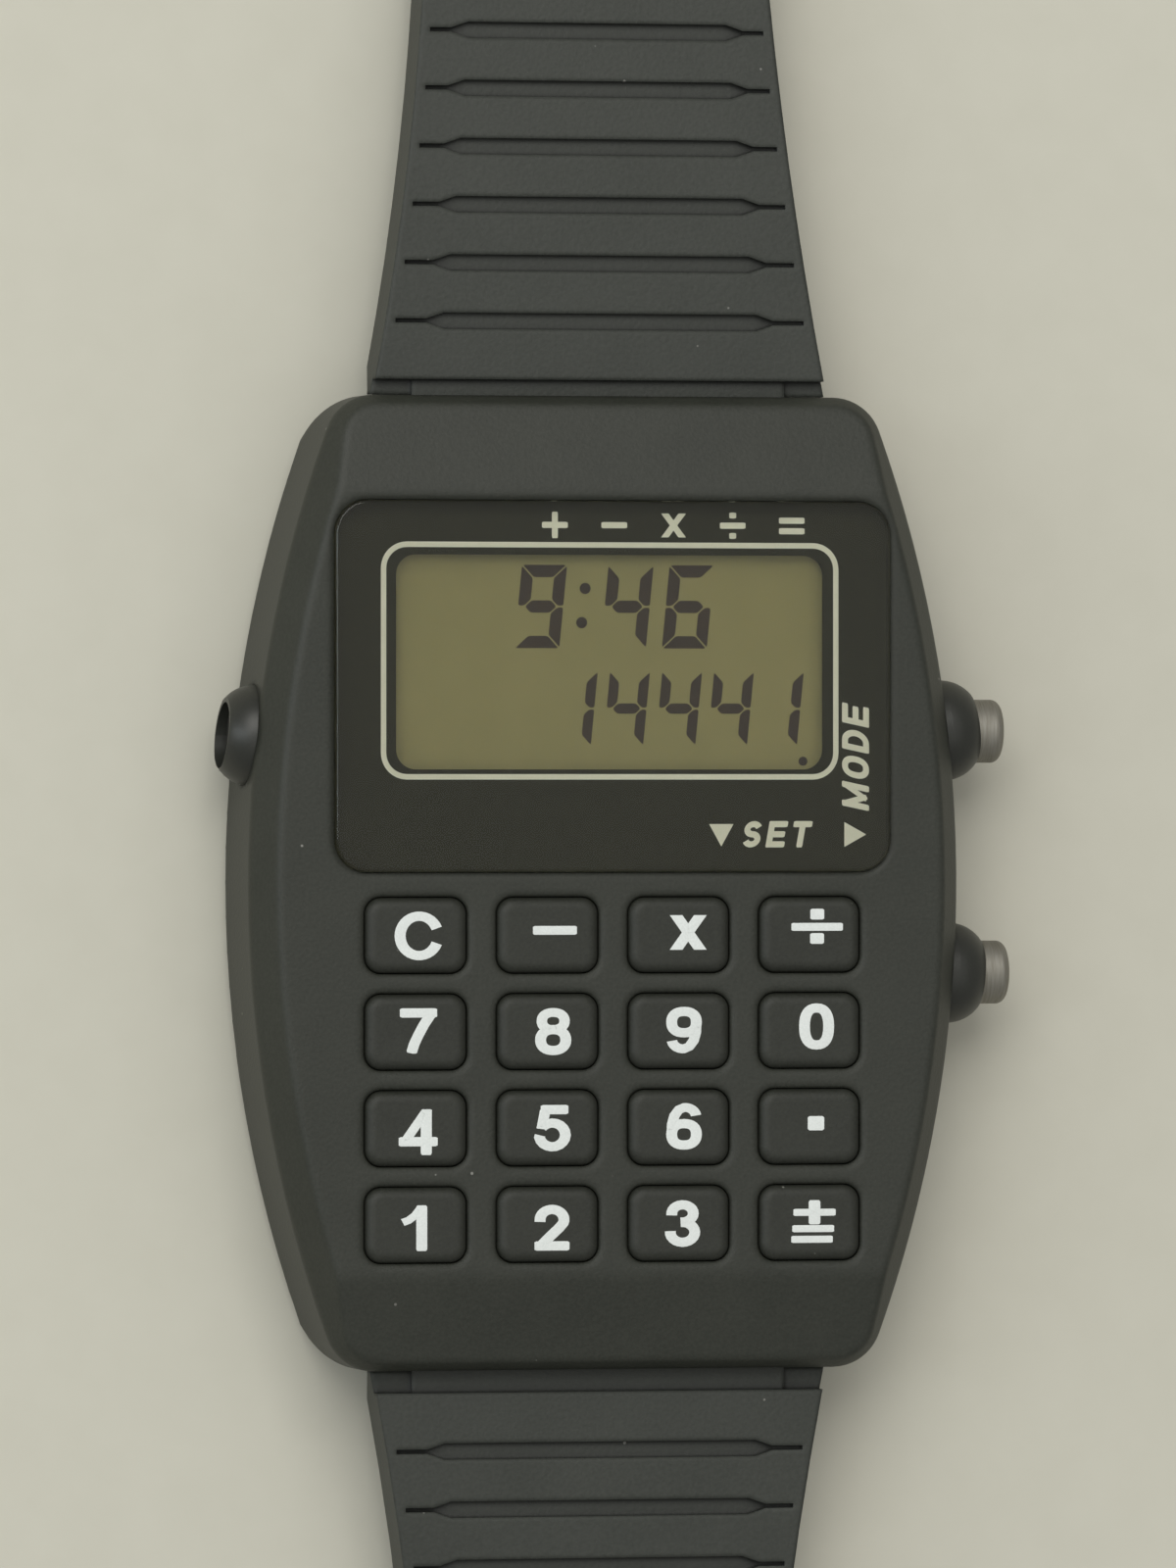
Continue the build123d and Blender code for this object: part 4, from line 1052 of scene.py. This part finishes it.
def make_sign_row():
    """A row of small arithmetic signs above the display."""
    left, bottom, right, top = under_crystal(sign_row_box)
    size = top - bottom
    pen = label_pen
    dot = (0.32, 0.27)
    dot_rise = (size - dot[1]) / 2
    line_rise = 0.24
    signs = (
        [("bar", size, pen, 0), ("stem", pen, size, 0)],
        [("bar", size, pen, 0)],
        [("times", size, size * 0.9, 0)],
        [("bar", size, pen, 0), ("bar", *dot, dot_rise), ("bar", *dot, -dot_rise)],
        [("bar", size, pen, line_rise), ("bar", size, pen, -line_rise)],
    )
    pitch = (right - left - size) / (len(signs) - 1)
    things = []
    for place, parts in enumerate(signs):
        for shape, width, tall, rise in parts:
            brush = min(width, tall) if shape != "times" else pen
            thing = draw(figure_strokes[shape], width, tall, brush, brush, print_thickness)
            thing.location = ((left + size / 2 + place * pitch) * mm, ((bottom + top) / 2 + rise) * mm, 0)
            things.append(thing)
    row = joined(things)
    row.location.z += mask_top_z * mm
    return settle(row, "sign_row_print", cream_ink, "case")


make_border_print()
make_mode_label()
make_set_label()
make_sign_row()


# Display segments

segments_on = {
    "1": "bc",
    "4": "fgbc",
    "6": "afgedc",
    "9": "abcdfg",
}
segment_slant = 5.5
segment_gap = 0.09
segment_height = 0.008
segment_corner = 0.09
# A row of the display: its top's pixel, each digit's figure and left pixel, and a digit's size and bar in mm
display_rows = (
    (576, (("9", 528.5), ("4", 617), ("6", 679.5)), (2.10, 3.78, 0.56)),
    (684.5, (("1", 565.5), ("4", 619), ("4", 672.5), ("4", 725.7), ("1", 777)), (1.86, 3.40, 0.47)),
)
# The two dots of the time and the decimal point: the middle's pixel and the radius
display_dots = ((597, 600, 0.26), (593.5, 635, 0.26), (820.6, 776.6, 0.21))


def segment_outline(letter, width, height, bar):
    """Corner points of one mitred segment in a box centred at zero, in mm."""
    w, h = width / 2, height / 2
    g = segment_gap / 2
    half = bar / 2
    across = [(-w + g, h), (w - g, h), (w - bar - g, h - bar), (-w + bar + g, h - bar)]
    middle = [(-w + half + g, 0), (-w + bar + g, half), (w - bar - g, half), (w - half - g, 0)]
    middle += [(w - bar - g, -half), (-w + bar + g, -half)]
    side = [(w, h - g), (w, g), (w - half, g), (w - bar, half + g), (w - bar, h - bar - g)]
    if letter == "a":
        return across
    if letter == "d":
        return [(x, -y) for x, y in across]
    if letter == "g":
        return middle
    flip_x = -1 if letter in "fe" else 1
    flip_y = -1 if letter in "ce" else 1
    return [(x * flip_x, y * flip_y) for x, y in side]


def flat_tile(points, centre_x, centre_y):
    """One thin tile with the given corners, a little rounded, as an object."""
    mesh = bpy.data.meshes.new("tile")
    corners = [(x * mm, y * mm, 0) for x, y in points]
    mesh.from_pydata(corners, [], [list(range(len(corners)))])
    thing = bpy.data.objects.new("tile", mesh)
    bpy.context.scene.collection.objects.link(thing)
    take_up(thing)
    bpy.ops.object.mode_set(mode="EDIT")
    bpy.ops.mesh.select_all(action="SELECT")
    bpy.ops.mesh.bevel(offset=segment_corner * mm, segments=3, affect="VERTICES")
    bpy.ops.mesh.select_all(action="SELECT")
    bpy.ops.mesh.extrude_region_move(TRANSFORM_OT_translate={"value": (0, 0, segment_height * mm)})
    bpy.ops.mesh.select_all(action="SELECT")
    bpy.ops.mesh.normals_make_consistent(inside=False)
    bpy.ops.object.mode_set(mode="OBJECT")
    thing.location = (centre_x * mm, centre_y * mm, 0)
    return thing


def make_digit(figure, left, top, width, height, bar):
    """One seven segment figure in a box whose left edge and top are given."""
    centre_x = left + width / 2
    centre_y = top - height / 2
    tiles = []
    for letter in segments_on[figure]:
        points = segment_outline(letter, width, height, bar)
        lean = math.tan(math.radians(segment_slant))
        slanted = [(x + y * lean, y) for x, y in points]
        tiles.append(flat_tile(slanted, centre_x, centre_y))
    return tiles


def make_dot(pixel_x, pixel_y, radius, shift):
    """A round mark of the display."""
    x, y = on_plane(pixel_x, pixel_y, shift)
    return flat_tile([(radius * px, radius * py) for px, py in arc(0, 0, 1, 1, 0, 337.5, 15)], x, y)


def make_display_segments():
    """The time over the result of a sum, on the cell's front face."""
    shift = shift_to(panel_top_z, True)
    tiles = []
    for pixel_y, digits, digit_size in display_rows:
        for figure, pixel_x in digits:
            left, top = on_plane(pixel_x, pixel_y, shift)
            tiles += make_digit(figure, left, top, *digit_size)
    for pixel_x, pixel_y, radius in display_dots:
        tiles.append(make_dot(pixel_x, pixel_y, radius, shift))
    thing = joined(tiles)
    thing.location.z += panel_top_z * mm
    return settle(thing, "display_segments", segment_ink, "case")


make_display_segments()


# Floor, light and camera


def make_floor():
    """Plain pale floor under the watch."""
    gap_under = 0.02 * mm
    bpy.ops.mesh.primitive_plane_add(size=4, location=(0, 0, cad_box[0].z - gap_under))
    floor = bpy.context.object
    floor.name = "floor"
    material, tree, shader = new_material("pale_floor")
    grains = place_group(tree, moulded_grain, Grain_Size=3 * mm)
    base = mixed(tree, grains.outputs["Mottle"], (0.555, 0.54, 0.465), (0.575, 0.56, 0.485))
    tree.links.new(base, shader.inputs["Base Color"])
    shader.inputs["Roughness"].default_value = 0.9
    paint(floor, material)


def make_light(name, place, aim, width, length, watts, colour):
    """A soft area light aimed at a point."""
    data = bpy.data.lights.new(name, "AREA")
    data.shape = "RECTANGLE"
    data.size = width
    data.size_y = length
    data.energy = watts
    data.color = colour
    light = bpy.data.objects.new(name, data)
    bpy.context.scene.collection.objects.link(light)
    light.location = place
    light.rotation_euler = (Vector(aim) - Vector(place)).to_track_quat("-Z", "Y").to_euler()


def make_world():
    """Even soft surroundings."""
    world = bpy.data.worlds.new("studio")
    bpy.context.scene.world = world
    world.use_nodes = True
    tree = world.node_tree
    background = tree.nodes["Background"]
    background.inputs["Color"].default_value = (1.0, 1.0, 0.955, 1)
    background.inputs["Strength"].default_value = 0.38


def make_camera():
    """Camera at the photograph's angle, with its frame."""
    x = (image_width / 2 - case_centre_pixel[0]) / (pixels_per_mm * math.cos(view_angle))
    y = (case_centre_pixel[1] - image_height / 2) / pixels_per_mm
    target = Vector((x * mm, y * mm, face_z * mm))
    back = Vector((-math.sin(view_angle), 0, math.cos(view_angle)))
    data = bpy.data.cameras.new("camera")
    data.sensor_fit = "AUTO"
    data.sensor_width = 36
    seen_height = image_height / pixels_per_mm * mm
    data.lens = data.sensor_width / 2 / (seen_height / 2 / camera_distance)
    data.clip_start = 0.05
    data.clip_end = 10
    camera = bpy.data.objects.new("camera", data)
    bpy.context.scene.collection.objects.link(camera)
    camera.location = target + back * camera_distance
    right = Vector((math.cos(view_angle), 0, math.sin(view_angle)))
    up = Vector((0, 1, 0))
    turn = Matrix((right, up, back)).transposed()
    camera.rotation_euler = turn.to_euler()
    bpy.context.scene.camera = camera


make_floor()
make_light(
    "ceiling_light", (0.05, 0.1, 0.85), (0.05, 0.1, 0),
    width=1.1, length=1.1, watts=1.7, colour=(1.0, 1.0, 0.96),
)
make_light(
    "main_light", (-0.15, 0.36, 0.58), (0, 0.02, 0),
    width=0.5, length=0.45, watts=2.3, colour=(1.0, 0.985, 0.94),
)
make_light(
    "left_light", (-0.62, 0.1, 0.44), (0, 0, 0),
    width=0.2, length=0.7, watts=1.5, colour=(0.90, 0.97, 1.0),
)
make_world()
make_camera()
bpy.context.scene.view_settings.view_transform = "Standard"
